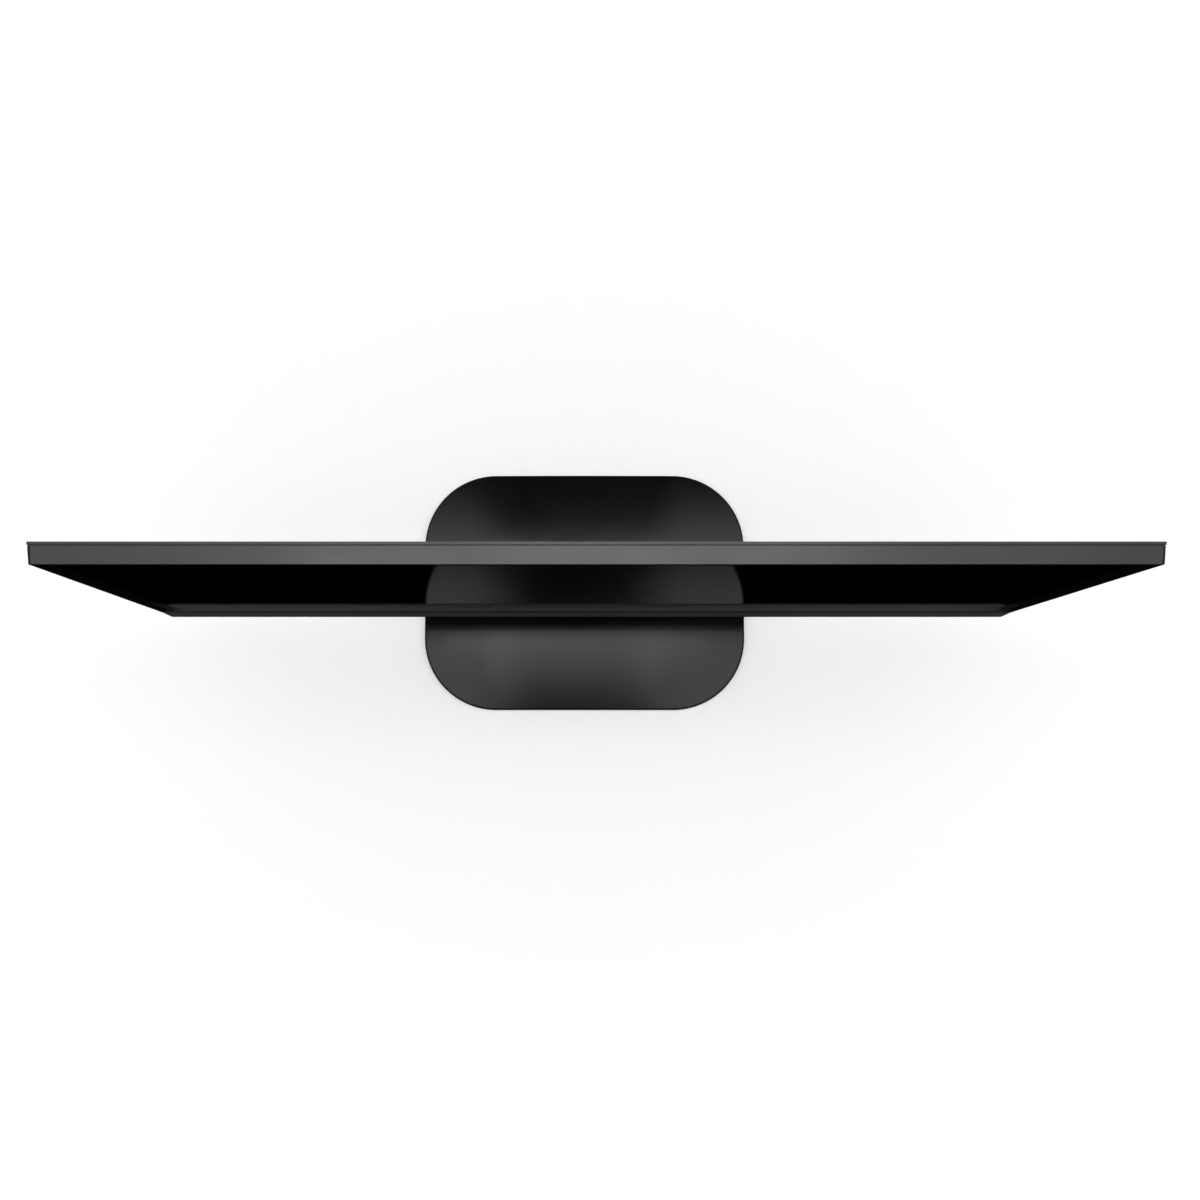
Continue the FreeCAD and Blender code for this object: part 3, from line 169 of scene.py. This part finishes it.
def brushed_metal(name, colour, darker, roughness, grain_mm, stretch):
    """Bare, plated or blackened metal, rolled or turned: fine lines and a soft sheen."""
    material, tree, shader, place = new_material(name, colour, roughness, metallic=1.0)
    drawn = add_node(tree, "ShaderNodeMapping", {"Scale": stretch}, {"Vector": place})
    lines = add_node(
        tree, "ShaderNodeTexNoise",
        {"Scale": per_metre(grain_mm), "Detail": 3.0}, {"Vector": drawn.outputs["Vector"]},
    )
    streak = add_node(tree, "ShaderNodeMapRange", NOISE_SPAN, {"Value": lines.outputs["Fac"]})
    tint = add_node(
        tree, "ShaderNodeMix",
        {"data_type": "RGBA", "A": linear(darker), "B": linear(colour)},
        {"Factor": streak.outputs["Result"]},
    )
    gloss = add_node(
        tree, "ShaderNodeMapRange",
        {**NOISE_SPAN, "To Min": roughness + 0.08, "To Max": roughness - 0.05},
        {"Value": lines.outputs["Fac"]},
    )
    bump = add_node(
        tree, "ShaderNodeBump",
        {"Strength": 0.15, "Distance": 0.01 * MM}, {"Height": lines.outputs["Fac"]},
    )
    wire(tree, shader, {
        "Base Color": tint.outputs["Result"],
        "Roughness": gloss.outputs["Result"],
        "Normal": bump.outputs["Normal"],
    })
    return material


def painted_steel(name, colour, roughness):
    """Powder-coated steel: orange peel a few millimetres across under a satin skin."""
    material, tree, shader, place = new_material(name, colour, roughness)
    peel = add_node(tree, "ShaderNodeTexNoise", {"Scale": per_metre(1.8)}, {"Vector": place})
    speck = add_node(
        tree, "ShaderNodeTexNoise",
        {"Scale": per_metre(0.4), "Detail": 1.0}, {"Vector": place},
    )
    gloss = add_node(
        tree, "ShaderNodeMapRange",
        {**NOISE_SPAN, "To Min": roughness - 0.05, "To Max": roughness + 0.07},
        {"Value": speck.outputs["Fac"]},
    )
    bump = add_node(
        tree, "ShaderNodeBump",
        {"Strength": 0.35, "Distance": 0.05 * MM}, {"Height": peel.outputs["Fac"]},
    )
    wire(tree, shader, {
        "Roughness": gloss.outputs["Result"],
        "Normal": bump.outputs["Normal"],
    })
    return material


def soft_rubber(name):
    """Moulded elastomer: very dull, finely pitted, a little grey with dust."""
    material, tree, shader, place = new_material(name, "#141415", 0.85)
    pits = add_node(
        tree, "ShaderNodeTexNoise",
        {"Scale": per_metre(0.5), "Detail": 4.0}, {"Vector": place},
    )
    dust = add_node(
        tree, "ShaderNodeTexNoise",
        {"Scale": per_metre(7.0), "Detail": 3.0}, {"Vector": place},
    )
    patches = add_node(
        tree, "ShaderNodeMapRange",
        {"From Min": 0.4, "From Max": 0.8}, {"Value": dust.outputs["Fac"]},
    )
    tint = add_node(
        tree, "ShaderNodeMix",
        {"data_type": "RGBA", "A": linear("#131314"), "B": linear("#242426")},
        {"Factor": patches.outputs["Result"]},
    )
    bump = add_node(
        tree, "ShaderNodeBump",
        {"Strength": 0.5, "Distance": 0.06 * MM}, {"Height": pits.outputs["Fac"]},
    )
    wire(tree, shader, {
        "Base Color": tint.outputs["Result"],
        "Normal": bump.outputs["Normal"],
    })
    return material


def circuit_board(name):
    """Glass-epoxy board under green solder resist. Its tracks are faint lighter
    lines 1.5 mm apart, and a brick texture's rows are a quarter of its unit."""
    material, tree, shader, place = new_material(name, "#0d4a26", 0.32)
    upright = add_node(
        tree, "ShaderNodeMapping", {"Rotation": (math.pi / 2, 0, 0)}, {"Vector": place}
    )
    tracks = add_node(
        tree, "ShaderNodeTexBrick",
        {"Scale": per_metre(1.5 / 0.25), "Mortar Size": 0.06},
        {"Vector": upright.outputs["Vector"]},
    )
    tint = add_node(
        tree, "ShaderNodeMix",
        {"data_type": "RGBA", "A": linear("#0d4a26"), "B": linear("#1b6b3a")},
        {"Factor": tracks.outputs["Fac"]},
    )
    bump = add_node(
        tree, "ShaderNodeBump",
        {"Strength": 0.3, "Distance": 0.03 * MM}, {"Height": tracks.outputs["Fac"]},
    )
    wire(tree, shader, {
        "Base Color": tint.outputs["Result"],
        "Normal": bump.outputs["Normal"],
    })
    return material


def clear_sheet(name, colour, roughness, dots_mm):
    """Optical sheet, acrylic, glass or phosphor: milky, with a fine pattern of dots."""
    material, tree, shader, place = new_material(name, colour, roughness, ior=1.49)
    dots = add_node(
        tree, "ShaderNodeTexVoronoi", {"Scale": per_metre(dots_mm)}, {"Vector": place}
    )
    ink = add_node(
        tree, "ShaderNodeMapRange",
        {"From Min": 0.1, "From Max": 0.3, "To Min": 1.0, "To Max": 0.0},
        {"Value": dots.outputs["Distance"]},
    )
    tint = add_node(
        tree, "ShaderNodeMix",
        {"data_type": "RGBA", "A": linear(colour), "B": linear("#ffffff")},
        {"Factor": ink.outputs["Result"]},
    )
    wire(tree, shader, {"Base Color": tint.outputs["Result"]})
    return material


def flexible_film(name):
    """Polyimide film over copper: amber, glossy, faintly striped by tracks 1.2 mm
    apart. A wave texture repeats 20 times in two pi of its units."""
    material, tree, shader, place = new_material(name, "#8a5218", 0.25)
    stripes = add_node(
        tree, "ShaderNodeTexWave", {"Scale": per_metre(1.2) * 2 * math.pi / 20}, {"Vector": place}
    )
    track = add_node(tree, "ShaderNodeMapRange", NOISE_SPAN, {"Value": stripes.outputs["Fac"]})
    tint = add_node(
        tree, "ShaderNodeMix",
        {"data_type": "RGBA", "A": linear("#6e3f10"), "B": linear("#9c621f")},
        {"Factor": track.outputs["Result"]},
    )
    wire(tree, shader, {"Base Color": tint.outputs["Result"]})
    return material


# How far a metal's lines are drawn out along each axis. Small numbers draw them longer.
ALONG_X = (0.05, 1, 1)
NEARLY_ALONG_X = (0.2, 1, 1)
ROLLED_ALONG_X = (0.1, 1, 1)
ALONG_Y = (1, 0.1, 1)
ALONG_Z = (1, 1, 0.15)
EVENLY = (1, 1, 1)
FINISHES = {
    "housing_black": moulded_plastic("bezel_abs", "#101011", "#161617", 0.22, 0.45),
    "chin_black": moulded_plastic("chin_abs", "#101011", "#151516", 0.3, 0.35, 0.15),
    "screen_film": polariser_film("screen_polariser"),
    "cell_glass": clear_sheet("cell_glass", "#20282a", 0.08, 0.5),
    "optical_white": clear_sheet("optical_sheet", "#e6e8e6", 0.45, 0.8),
    "guide_clear": clear_sheet("acrylic_guide", "#dfe9ea", 0.12, 1.4),
    "aluminium_bar": brushed_metal("led_bar_aluminium", "#c4c6c9", "#a9abae", 0.35, 0.5, ALONG_X),
    "led_yellow": clear_sheet("led_phosphor", "#d8c04c", 0.4, 0.4),
    "mould_black": moulded_plastic("mould_frame_pc", "#1c1c1c", "#232323", 0.55, 0.6),
    "zinc_steel": brushed_metal("zinc_plated_sheet", "#b4b7ba", "#96999c", 0.38, 2.0, NEARLY_ALONG_X),
    "board_green": circuit_board("board_resist"),
    "film_amber": flexible_film("polyimide_film"),
    "chip_black": moulded_plastic("chip_epoxy", "#171717", "#1e1e1e", 0.6, 0.3),
    "can_silver": brushed_metal("capacitor_can", "#c9cacc", "#b4b5b8", 0.25, 0.6, ALONG_Y),
    "socket_metal": brushed_metal("socket_tinplate", "#bcbdbf", "#9fa0a3", 0.3, 0.7, ALONG_Z),
    "jack_black": moulded_plastic("jack_nylon", "#161617", "#1d1d1e", 0.5, 0.4),
    "cover_black": moulded_plastic("rear_cover_abs", "#131314", "#1b1b1c", 0.25, 0.7, 0.3, 0.03),
    "screw_black": brushed_metal("black_oxide_steel", "#3a3a3c", "#28282a", 0.4, 0.3, EVENLY),
    "post_steel": brushed_metal("turned_steel", "#a5a6a8", "#88898c", 0.3, 0.25, ALONG_Y),
    "hinge_steel": brushed_metal("hinge_plate_steel", "#77787a", "#5c5d60", 0.38, 0.8, ROLLED_ALONG_X),
    "spring_steel": brushed_metal("spring_steel", "#8f9194", "#77797c", 0.3, 0.3, EVENLY),
    "neck_black": moulded_plastic("neck_abs", "#111112", "#171718", 0.36, 0.5),
    "core_cast": painted_steel("core_coating", "#2a2a2b", 0.6),
    "base_black": moulded_plastic("base_abs", "#0a0a0b", "#0d0d0e", 0.115, 0.35, 0.05, 0.01),
    "plate_black": painted_steel("plate_coating", "#1d1d1e", 0.5),
    "foot_rubber": soft_rubber("foot_elastomer"),
    "knob_black": moulded_plastic("knob_abs", "#1b1b1c", "#262627", 0.5, 0.3, 0.4),
    "pipe_clear": clear_sheet("light_pipe_pc", "#c9d2da", 0.15, 0.5),
}
CONTACT_GOLD = brushed_metal("contact_gold", "#d8b25a", "#b8923e", 0.28, 0.3, (1, 1, 0.2))

slot_of = {entry["node"]: entry["material_slot"] for entry in frame["record"]["subparts"]}
for name, node in nodes.items():
    node.data.materials.clear()
    node.data.materials.append(FINISHES[slot_of[name]])

# Corners that lie nearer to each other than this are one.
JOIN_MM = 0.001
FLAT_DEGREES = 0.5
CORNER_DEGREES = 35.0
EDGE_ROUNDS_MM = {
    "front_bezel": 0.3,
    "control_pod": 0.3,
    "neck_front_shell": 0.5,
    "neck_rear_shell": 0.5,
    "rear_cover": 0.35,
    "hinge_bracket": 0.25,
    "base_plate": 0.3,
    "base_feet": 0.6,
    "neck_core": 0.3,
    "hinge_nuts": 0.3,
    "base_bolt": 0.3,
}


def soften(name, width_mm):
    """Rounds the sharp moulded or pressed edges of a node, so that they catch light.
    Its flat faces are first made whole, so that they shade evenly."""
    node = nodes[name]
    weld = node.modifiers.new("weld", "WELD")
    weld.merge_threshold = JOIN_MM * MM
    flats = node.modifiers.new("flats", "DECIMATE")
    flats.decimate_type = "DISSOLVE"
    flats.angle_limit = math.radians(FLAT_DEGREES)
    bevel = node.modifiers.new("edges", "BEVEL")
    bevel.width = width_mm * MM
    bevel.segments = 2
    bevel.limit_method = "ANGLE"
    bevel.angle_limit = math.radians(CORNER_DEGREES)
    bevel.harden_normals = True


for name, width_mm in EDGE_ROUNDS_MM.items():
    soften(name, width_mm)


def solids_of(name):
    """The lowest and highest corner of each separate solid of a CAD node, in order."""
    bm = bmesh.new()
    bm.from_mesh(nodes[name].data)
    bmesh.ops.remove_doubles(bm, verts=bm.verts, dist=JOIN_MM * MM)
    left = set(bm.verts)
    found = []
    while left:
        front = [left.pop()]
        reached = list(front)
        while front:
            for edge in front.pop().link_edges:
                for vert in edge.verts:
                    if vert in left:
                        left.discard(vert)
                        reached.append(vert)
                        front.append(vert)
        low = Vector(min(v.co[axis] for v in reached) for axis in range(3))
        high = Vector(max(v.co[axis] for v in reached) for axis in range(3))
        found.append((low, high))
    bm.free()
    return sorted(found, key=lambda corners: tuple(corners[0]))


def turned_mesh(name, profile, steps=40, ridges=0, ridge_mm=0.0, ridged=()):
    """A closed form turned round Z from (radius, height) points in millimetres. The
    points whose places are listed in ridged carry a row of grip ridges."""
    bm = bmesh.new()
    rings = []
    for place, (radius, height) in enumerate(profile):
        if radius == 0:
            rings.append([bm.verts.new((0, 0, height * MM))])
            continue
        ring = []
        for step in range(steps):
            turn = 2 * math.pi * step / steps
            swell = ridge_mm * math.cos(ridges * turn) if place in ridged else 0.0
            reach = (radius + swell) * MM
            ring.append(bm.verts.new((reach * math.cos(turn), reach * math.sin(turn), height * MM)))
        rings.append(ring)
    for low, high in zip(rings, rings[1:]):
        for step in range(steps):
            after = (step + 1) % steps
            corners = [low[step % len(low)], low[after % len(low)],
                       high[after % len(high)], high[step % len(high)]]
            bm.faces.new(list(dict.fromkeys(corners)))
    bmesh.ops.recalc_face_normals(bm, faces=bm.faces)
    mesh = bpy.data.meshes.new(name)
    bm.to_mesh(mesh)
    bm.free()
    return mesh


CREASE_DEGREES = 40.0


def shaded(mesh):
    """Smooth shading that keeps the sharper edges."""
    for face in mesh.polygons:
        face.use_smooth = True
    bm = bmesh.new()
    bm.from_mesh(mesh)
    crease = math.radians(CREASE_DEGREES)
    for edge in bm.edges:
        edge.smooth = len(edge.link_faces) < 2 or edge.calc_face_angle() < crease
    bm.to_mesh(mesh)
    bm.free()
    return mesh


def piece(name, mesh, slot, body, place, turn=(0.0, 0.0, 0.0), finish=None):
    """Shows a mesh as a piece of the object that rides on a body."""
    item = bpy.data.objects.new(name, mesh)
    bpy.context.scene.collection.objects.link(item)
    mesh.materials.clear()
    mesh.materials.append(finish or FINISHES[slot])
    item.location = place
    item.rotation_euler = turn
    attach(item, body)
    return item


# A recess's arms as shares of the head's radius, its tip as shares of its mouth, and its
# depth as a share of the head's height.
RECESS_LONG = 1.15
RECESS_WIDE = 0.26
TIP_LONG = 0.35
TIP_WIDE = 0.74
RECESS_DEEP = 0.75
PUNCH_OVER_MM = 0.2


def cross_recess(head_r, top, depth):
    """A cross-shaped punch that narrows downwards, for the driver's recess."""
    bm = bmesh.new()
    for turn in (0.0, math.pi / 2):
        bar = bmesh.ops.create_cube(bm, size=1.0)["verts"]
        for vert in bar:
            mouth = vert.co.z > 0
            along = vert.co.x * RECESS_LONG * head_r * (1.0 if mouth else TIP_LONG)
            across = vert.co.y * RECESS_WIDE * head_r * (1.0 if mouth else TIP_WIDE)
            height = top + PUNCH_OVER_MM if mouth else top - depth
            vert.co = (along * MM, across * MM, height * MM)
        bmesh.ops.rotate(bm, verts=bar, cent=(0, 0, 0), matrix=Matrix.Rotation(turn, 3, "Z"))
    mesh = bpy.data.meshes.new("recess")
    bm.to_mesh(mesh)
    bm.free()
    return bpy.data.objects.new("recess", mesh)


def screw_mesh(name, head_r, head_tall, shank_r, reach, flat):
    """A cross-head machine screw with its head's underside at height 0. A flat head
    is a disc with a narrow chamfer, and any other is crowned towards its middle."""
    crown = 0.0 if flat else 0.12 * head_tall
    rim_top = 0.9 * head_tall if flat else 0.55 * head_tall
    profile = [
        (0.0, -reach),
        (shank_r * 0.8, -reach),
        (shank_r, -reach + 0.2 * shank_r),
        (shank_r, 0.0),
        (head_r * 0.97, 0.0),
        (head_r, 0.1 * head_tall),
        (head_r, rim_top),
        (head_r * 0.93, head_tall - 1.6 * crown),
        (head_r * 0.7, head_tall - 0.6 * crown),
        (0.0, head_tall),
    ]
    body = bpy.data.objects.new(name, turned_mesh(name, profile))
    punch = cross_recess(head_r, head_tall, RECESS_DEEP * head_tall)
    for item in (body, punch):
        bpy.context.scene.collection.objects.link(item)
    drive = body.modifiers.new("drive", "BOOLEAN")
    drive.object = punch
    drive.solver = "EXACT"
    drive.use_self = True
    graph = bpy.context.evaluated_depsgraph_get()
    mesh = bpy.data.meshes.new_from_object(body.evaluated_get(graph))
    bpy.data.objects.remove(body)
    bpy.data.objects.remove(punch)
    return shaded(mesh)


# Head and shank sizes in millimetres. Heads look back (+Y) or down (-Z).
SCREWS = {
    "cover_screws": {"body": "head", "head_tall": 1.2, "shank_r": 1.1, "down": False, "flat": False},
    "neck_screws": {"body": "stand", "head_tall": 1.4, "shank_r": 1.4, "down": False, "flat": False},
    "hinge_screws": {"body": "head", "head_tall": 1.5, "shank_r": 1.9, "down": False, "flat": True},
    "base_screws": {"body": "stand", "head_tall": 1.4, "shank_r": 1.25, "down": True, "flat": False},
}
# Each screw of a row stops at its own angle, as screws do.
STOP_TURN = 0.7


def make_screws(node, body, head_tall, shank_r, down, flat):
    """One cross-head screw in the place of each plain one of a node."""
    mesh = None
    for i, (low, high) in enumerate(solids_of(node)):
        middle = (low + high) / 2
        head_r = (high.x - low.x) / 2 / MM
        length = (high.z - low.z if down else high.y - low.y) / MM
        mesh = mesh or screw_mesh(node, head_r, head_tall, shank_r, length - head_tall, flat)
        if down:
            place = (middle.x, middle.y, low.z + head_tall * MM)
            turn = (math.pi, 0.0, i * STOP_TURN)
        else:
            place = (middle.x, high.y - head_tall * MM, middle.z)
            turn = (-math.pi / 2, i * STOP_TURN, 0.0)
        screw = piece(f"{node}_{i}", mesh, slot_of[node], body, place, turn)
        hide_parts(node)


for name, sizes in SCREWS.items():
    make_screws(name, **sizes)

KNOB_RIDGES = 24
KNOB_RIDGE_MM = 0.12


def make_joystick_cap():
    """The menu knob: a dished, ridged thumb rest below a plain sleeve."""
    low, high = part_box("joystick_cap")
    middle = (low + high) / 2
    radius = (high.x - low.x) / 2 / MM
    tall = (high.z - low.z) / MM
    disc_tall = tall / 2
    sleeve_r = radius * 0.63
    ridge_r = radius - KNOB_RIDGE_MM
    profile = [
        (0.0, 0.55),
        (radius * 0.35, 0.48),
        (radius * 0.6, 0.25),
        (radius * 0.78, 0.03),
        (radius * 0.86, 0.0),
        (radius * 0.95, 0.12),
        (ridge_r, 0.4),
        (ridge_r, disc_tall - 0.4),
        (radius * 0.92, disc_tall),
        (sleeve_r, disc_tall),
        (sleeve_r, tall),
        (0.0, tall),
    ]
    mesh = turned_mesh(
        "joystick_knob", profile, steps=6 * KNOB_RIDGES,
        ridges=KNOB_RIDGES, ridge_mm=KNOB_RIDGE_MM, ridged=(6, 7),
    )
    knob = piece(
        "joystick_knob", shaded(mesh), slot_of["joystick_cap"], "joystick_cap",
        (middle.x, middle.y, low.z),
    )
    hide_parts("joystick_cap")


make_joystick_cap()


def box_mesh(name, boxes):
    """Plain blocks, each given by its lowest and highest corner in metres."""
    bm = bmesh.new()
    for low, high in boxes:
        size = Vector(high) - Vector(low)
        middle = (Vector(high) + Vector(low)) / 2
        form = Matrix.Translation(middle) @ Matrix.Diagonal((*size, 1.0))
        bmesh.ops.create_cube(bm, size=1.0, matrix=form)
    mesh = bpy.data.meshes.new(name)
    bm.to_mesh(mesh)
    bm.free()
    return mesh


# The gilt strips of a plug socket, measured in from its back face and up from its mouth.
CONTACT_PITCH_MM = 1.0
CONTACT_WIDE_MM = 0.56
CONTACT_IN_MM = 1.5
CONTACT_SUNK_MM = 0.06
CONTACT_PROUD_MM = 0.02
CONTACT_FROM_MM = 1.3
CONTACT_TO_MM = 8.0


def make_contacts(node, share):
    """A row of contacts along a share of the tongue's width in each socket of a node."""
    strips = []
    for low, high in solids_of(node):
        face = high.y - CONTACT_IN_MM * MM
        middle = (low.x + high.x) / 2
        count = int((high.x - low.x) * share / (CONTACT_PITCH_MM * MM))
        for i in range(count):
            x = middle + (i - (count - 1) / 2) * CONTACT_PITCH_MM * MM
            half = CONTACT_WIDE_MM * MM / 2
            near = (x - half, face - CONTACT_SUNK_MM * MM, low.z + CONTACT_FROM_MM * MM)
            far = (x + half, face + CONTACT_PROUD_MM * MM, low.z + CONTACT_TO_MM * MM)
            strips.append((near, far))
    name = f"{node}_contacts"
    piece(name, box_mesh(name, strips), "socket_metal", "head", (0, 0, 0), finish=CONTACT_GOLD)


make_contacts("hdmi_sockets", 0.66)
make_contacts("displayport_socket", 0.76)


def lamp(name, x_span, y_span, height, radiance, in_gloss=True):
    """A rectangular softbox that looks straight down, as bright as given per square metre."""
    data = bpy.data.lights.new(name, "AREA")
    data.shape = "RECTANGLE"
    data.size = x_span[1] - x_span[0]
    data.size_y = y_span[1] - y_span[0]
    data.energy = math.pi * radiance * data.size * data.size_y
    item = bpy.data.objects.new(name, data)
    item.location = (sum(x_span) / 2, sum(y_span) / 2, height)
    item.visible_glossy = in_gloss
    bpy.context.scene.collection.objects.link(item)


# The boxes hang just above each other, and their layers add up to soft edges: a bright core
# over the screen's upper edge, paler skirts around it and a plain panel on each side.
# Nothing hangs in front of the skirts, and the base mirrors that as a dark front edge.
BOX_HEIGHT = 1.9
LAYER_STEP = 0.01
SOFT_LAYERS = {
    "core": ((-0.32, 0.32), (0.07, 0.21), 2.6),
    "long_strip": ((-0.75, 0.75), (0.04, 0.24), 0.8),
    "inner_skirt": ((-0.45, 0.45), (-0.04, 0.28), 0.9),
    "middle_skirt": ((-0.32, 0.32), (-0.12, 0.31), 0.6),
    "wide_skirt": ((-0.30, 0.30), (-0.18, 0.34), 0.5),
    "outer_skirt": ((-0.28, 0.28), (-0.24, 0.37), 0.3),
}
# Each side panel is a stack of sheets, stepped outwards, so that its near edge fades.
PANEL_SHEETS = 4
PANEL_STEP = 0.05
PANEL_BACK_STEP = 0.06
PANEL_RADIANCE = 0.34
for step in range(PANEL_SHEETS):
    near, far = 0.20 + PANEL_STEP * step, 1.12 + PANEL_STEP * step
    front, back = -0.35 - PANEL_STEP * step, 0.35 + PANEL_BACK_STEP * step
    SOFT_LAYERS[f"left_panel_{step}"] = ((-far, -near), (front, back), PANEL_RADIANCE)
    SOFT_LAYERS[f"right_panel_{step}"] = ((near, far), (front, back), PANEL_RADIANCE)
for layer, (name, (x_span, y_span, radiance)) in enumerate(SOFT_LAYERS.items()):
    lamp(name, x_span, y_span, BOX_HEIGHT + layer * LAYER_STEP, radiance)
# Light that the white ceiling gives back. No mirror shows it.
CEILING_SPAN = (-2.0, 2.0)
CEILING_HEIGHT = 2.6
CEILING_RADIANCE = 0.9
lamp("ceiling_bounce", CEILING_SPAN, CEILING_SPAN, CEILING_HEIGHT, CEILING_RADIANCE, in_gloss=False)

BEHIND_GLOW = 0.35
HORIZON_GLOW = 0.4


def studio_air():
    """The room as a mirror sees it: black above and below, a dim band round the
    horizon, and a little more light low down behind the object."""
    world = bpy.data.worlds.new("studio_air")
    bpy.context.scene.world = world
    world.use_nodes = True
    tree = world.node_tree
    air = tree.nodes["Background"]
    air.inputs["Color"].default_value = (1, 1, 1, 1)
    place = add_node(tree, "ShaderNodeTexCoord").outputs["Generated"]
    split = add_node(tree, "ShaderNodeSeparateXYZ", links={"Vector": place})
    rearward = add_node(
        tree, "ShaderNodeMapRange",
        {"From Min": 0.1, "From Max": 0.6, "To Min": 0.0, "To Max": 1.0},
        {"Value": split.outputs["Y"]},
    )
    low_down = add_node(
        tree, "ShaderNodeMapRange",
        {"From Min": 0.2, "From Max": 0.6, "To Min": BEHIND_GLOW, "To Max": 0.0},
        {"Value": split.outputs["Z"]},
    )
    behind = add_node(
        tree, "ShaderNodeMath", {"operation": "MULTIPLY"},
        {0: rearward.outputs["Result"], 1: low_down.outputs["Result"]},
    )
    level = add_node(tree, "ShaderNodeMath", {"operation": "ABSOLUTE"}, {0: split.outputs["Z"]})
    horizon = add_node(
        tree, "ShaderNodeMapRange",
        {"From Min": 0.15, "From Max": 0.8, "To Min": HORIZON_GLOW, "To Max": 0.0},
        {"Value": level.outputs["Value"]},
    )
    glow = add_node(
        tree, "ShaderNodeMath", {"operation": "ADD"},
        {0: behind.outputs["Value"], 1: horizon.outputs["Result"]},
    )
    wire(tree, air, {"Strength": glow.outputs["Value"]})


studio_air()

# The floor's disc, the round of the cove and the wall above it, in metres.
FLOOR_R = 4.0
COVE_R = 1.0
WALL_HIGH = 4.0
COVE_STEPS = 8
ROUND_STEPS = 96
FLOOR_GLOW = 0.4


def floor_mesh():
    """A disc that curves up into a round wall."""
    turns = [math.pi / 2 * step / COVE_STEPS for step in range(1, COVE_STEPS + 1)]
    cove = [(FLOOR_R + COVE_R * math.sin(a), COVE_R * (1.0 - math.cos(a))) for a in turns]
    profile = [(0.0, 0.0), (FLOOR_R, 0.0), *cove, (FLOOR_R + COVE_R, WALL_HIGH)]
    mesh = bpy.data.meshes.new("floor")
    bm = bmesh.new()
    verts = [bm.verts.new((r, 0.0, z)) for r, z in profile]
    edges = [bm.edges.new(pair) for pair in zip(verts, verts[1:])]
    bmesh.ops.spin(
        bm, geom=verts + edges, axis=(0, 0, 1), cent=(0, 0, 0), angle=2 * math.pi, steps=ROUND_STEPS
    )
    bmesh.ops.remove_doubles(bm, verts=bm.verts, dist=MM)
    bmesh.ops.recalc_face_normals(bm, faces=bm.faces)
    bm.to_mesh(mesh)
    bm.free()
    return mesh


def white_floor():
    """A pale floor whose own glow makes it as white as the photograph's ground. It keeps
    the object's shadow, and no mirror shows it, as the photographed screen shows none."""
    floor = bpy.data.objects.new("floor", floor_mesh())
    bpy.context.scene.collection.objects.link(floor)
    material = bpy.data.materials.new("floor_paint")
    material.use_nodes = True
    tree = material.node_tree
    shader = tree.nodes["Principled BSDF"]
    shader.inputs["Base Color"].default_value = linear("#f8f8f8")
    shader.inputs["Roughness"].default_value = 0.9
    shader.inputs["Specular IOR Level"].default_value = 0.0
    shader.inputs["Emission Color"].default_value = (1, 1, 1, 1)
    rays = add_node(tree, "ShaderNodeLightPath")
    seen = add_node(
        tree, "ShaderNodeMath", {"operation": "ADD"},
        {0: rays.outputs["Is Camera Ray"], 1: rays.outputs["Is Glossy Ray"]},
    )
    seen = add_node(
        tree, "ShaderNodeMath", {"operation": "ADD"},
        {0: seen.outputs["Value"], 1: rays.outputs["Is Transmission Ray"]},
    )
    glow = add_node(
        tree, "ShaderNodeMapRange", {"To Min": 0.0, "To Max": FLOOR_GLOW},
        {"Value": seen.outputs["Value"]},
    )
    wire(tree, shader, {"Emission Strength": glow.outputs["Result"]})
    floor.data.materials.append(material)
    floor.visible_glossy = False


white_floor()

# The photograph's side, its focal length and the column that looks ahead.
FRAME_PX = 1200
FOCAL_PX = 1953.6
CENTRE_PX = 557.7
# The film can have any width, because the lens follows from it.
FILM_MM = 36.0
CAMERA_PLACE = (-0.0185, -0.1112, 1.3517)
CAMERA_TILT_DEGREES = 4.51


def overhead_camera():
    """Almost straight above and a little in front of the screen, as in the photograph."""
    data = bpy.data.cameras.new("overhead")
    data.sensor_width = FILM_MM
    data.lens = FILM_MM * FOCAL_PX / FRAME_PX
    data.shift_x = (FRAME_PX / 2 - CENTRE_PX) / FRAME_PX
    data.clip_end = 50.0
    item = bpy.data.objects.new("overhead", data)
    item.location = CAMERA_PLACE
    item.rotation_euler = (math.radians(CAMERA_TILT_DEGREES), 0.0, 0.0)
    bpy.context.scene.collection.objects.link(item)
    bpy.context.scene.camera = item


overhead_camera()
bpy.context.scene.view_settings.view_transform = "Standard"
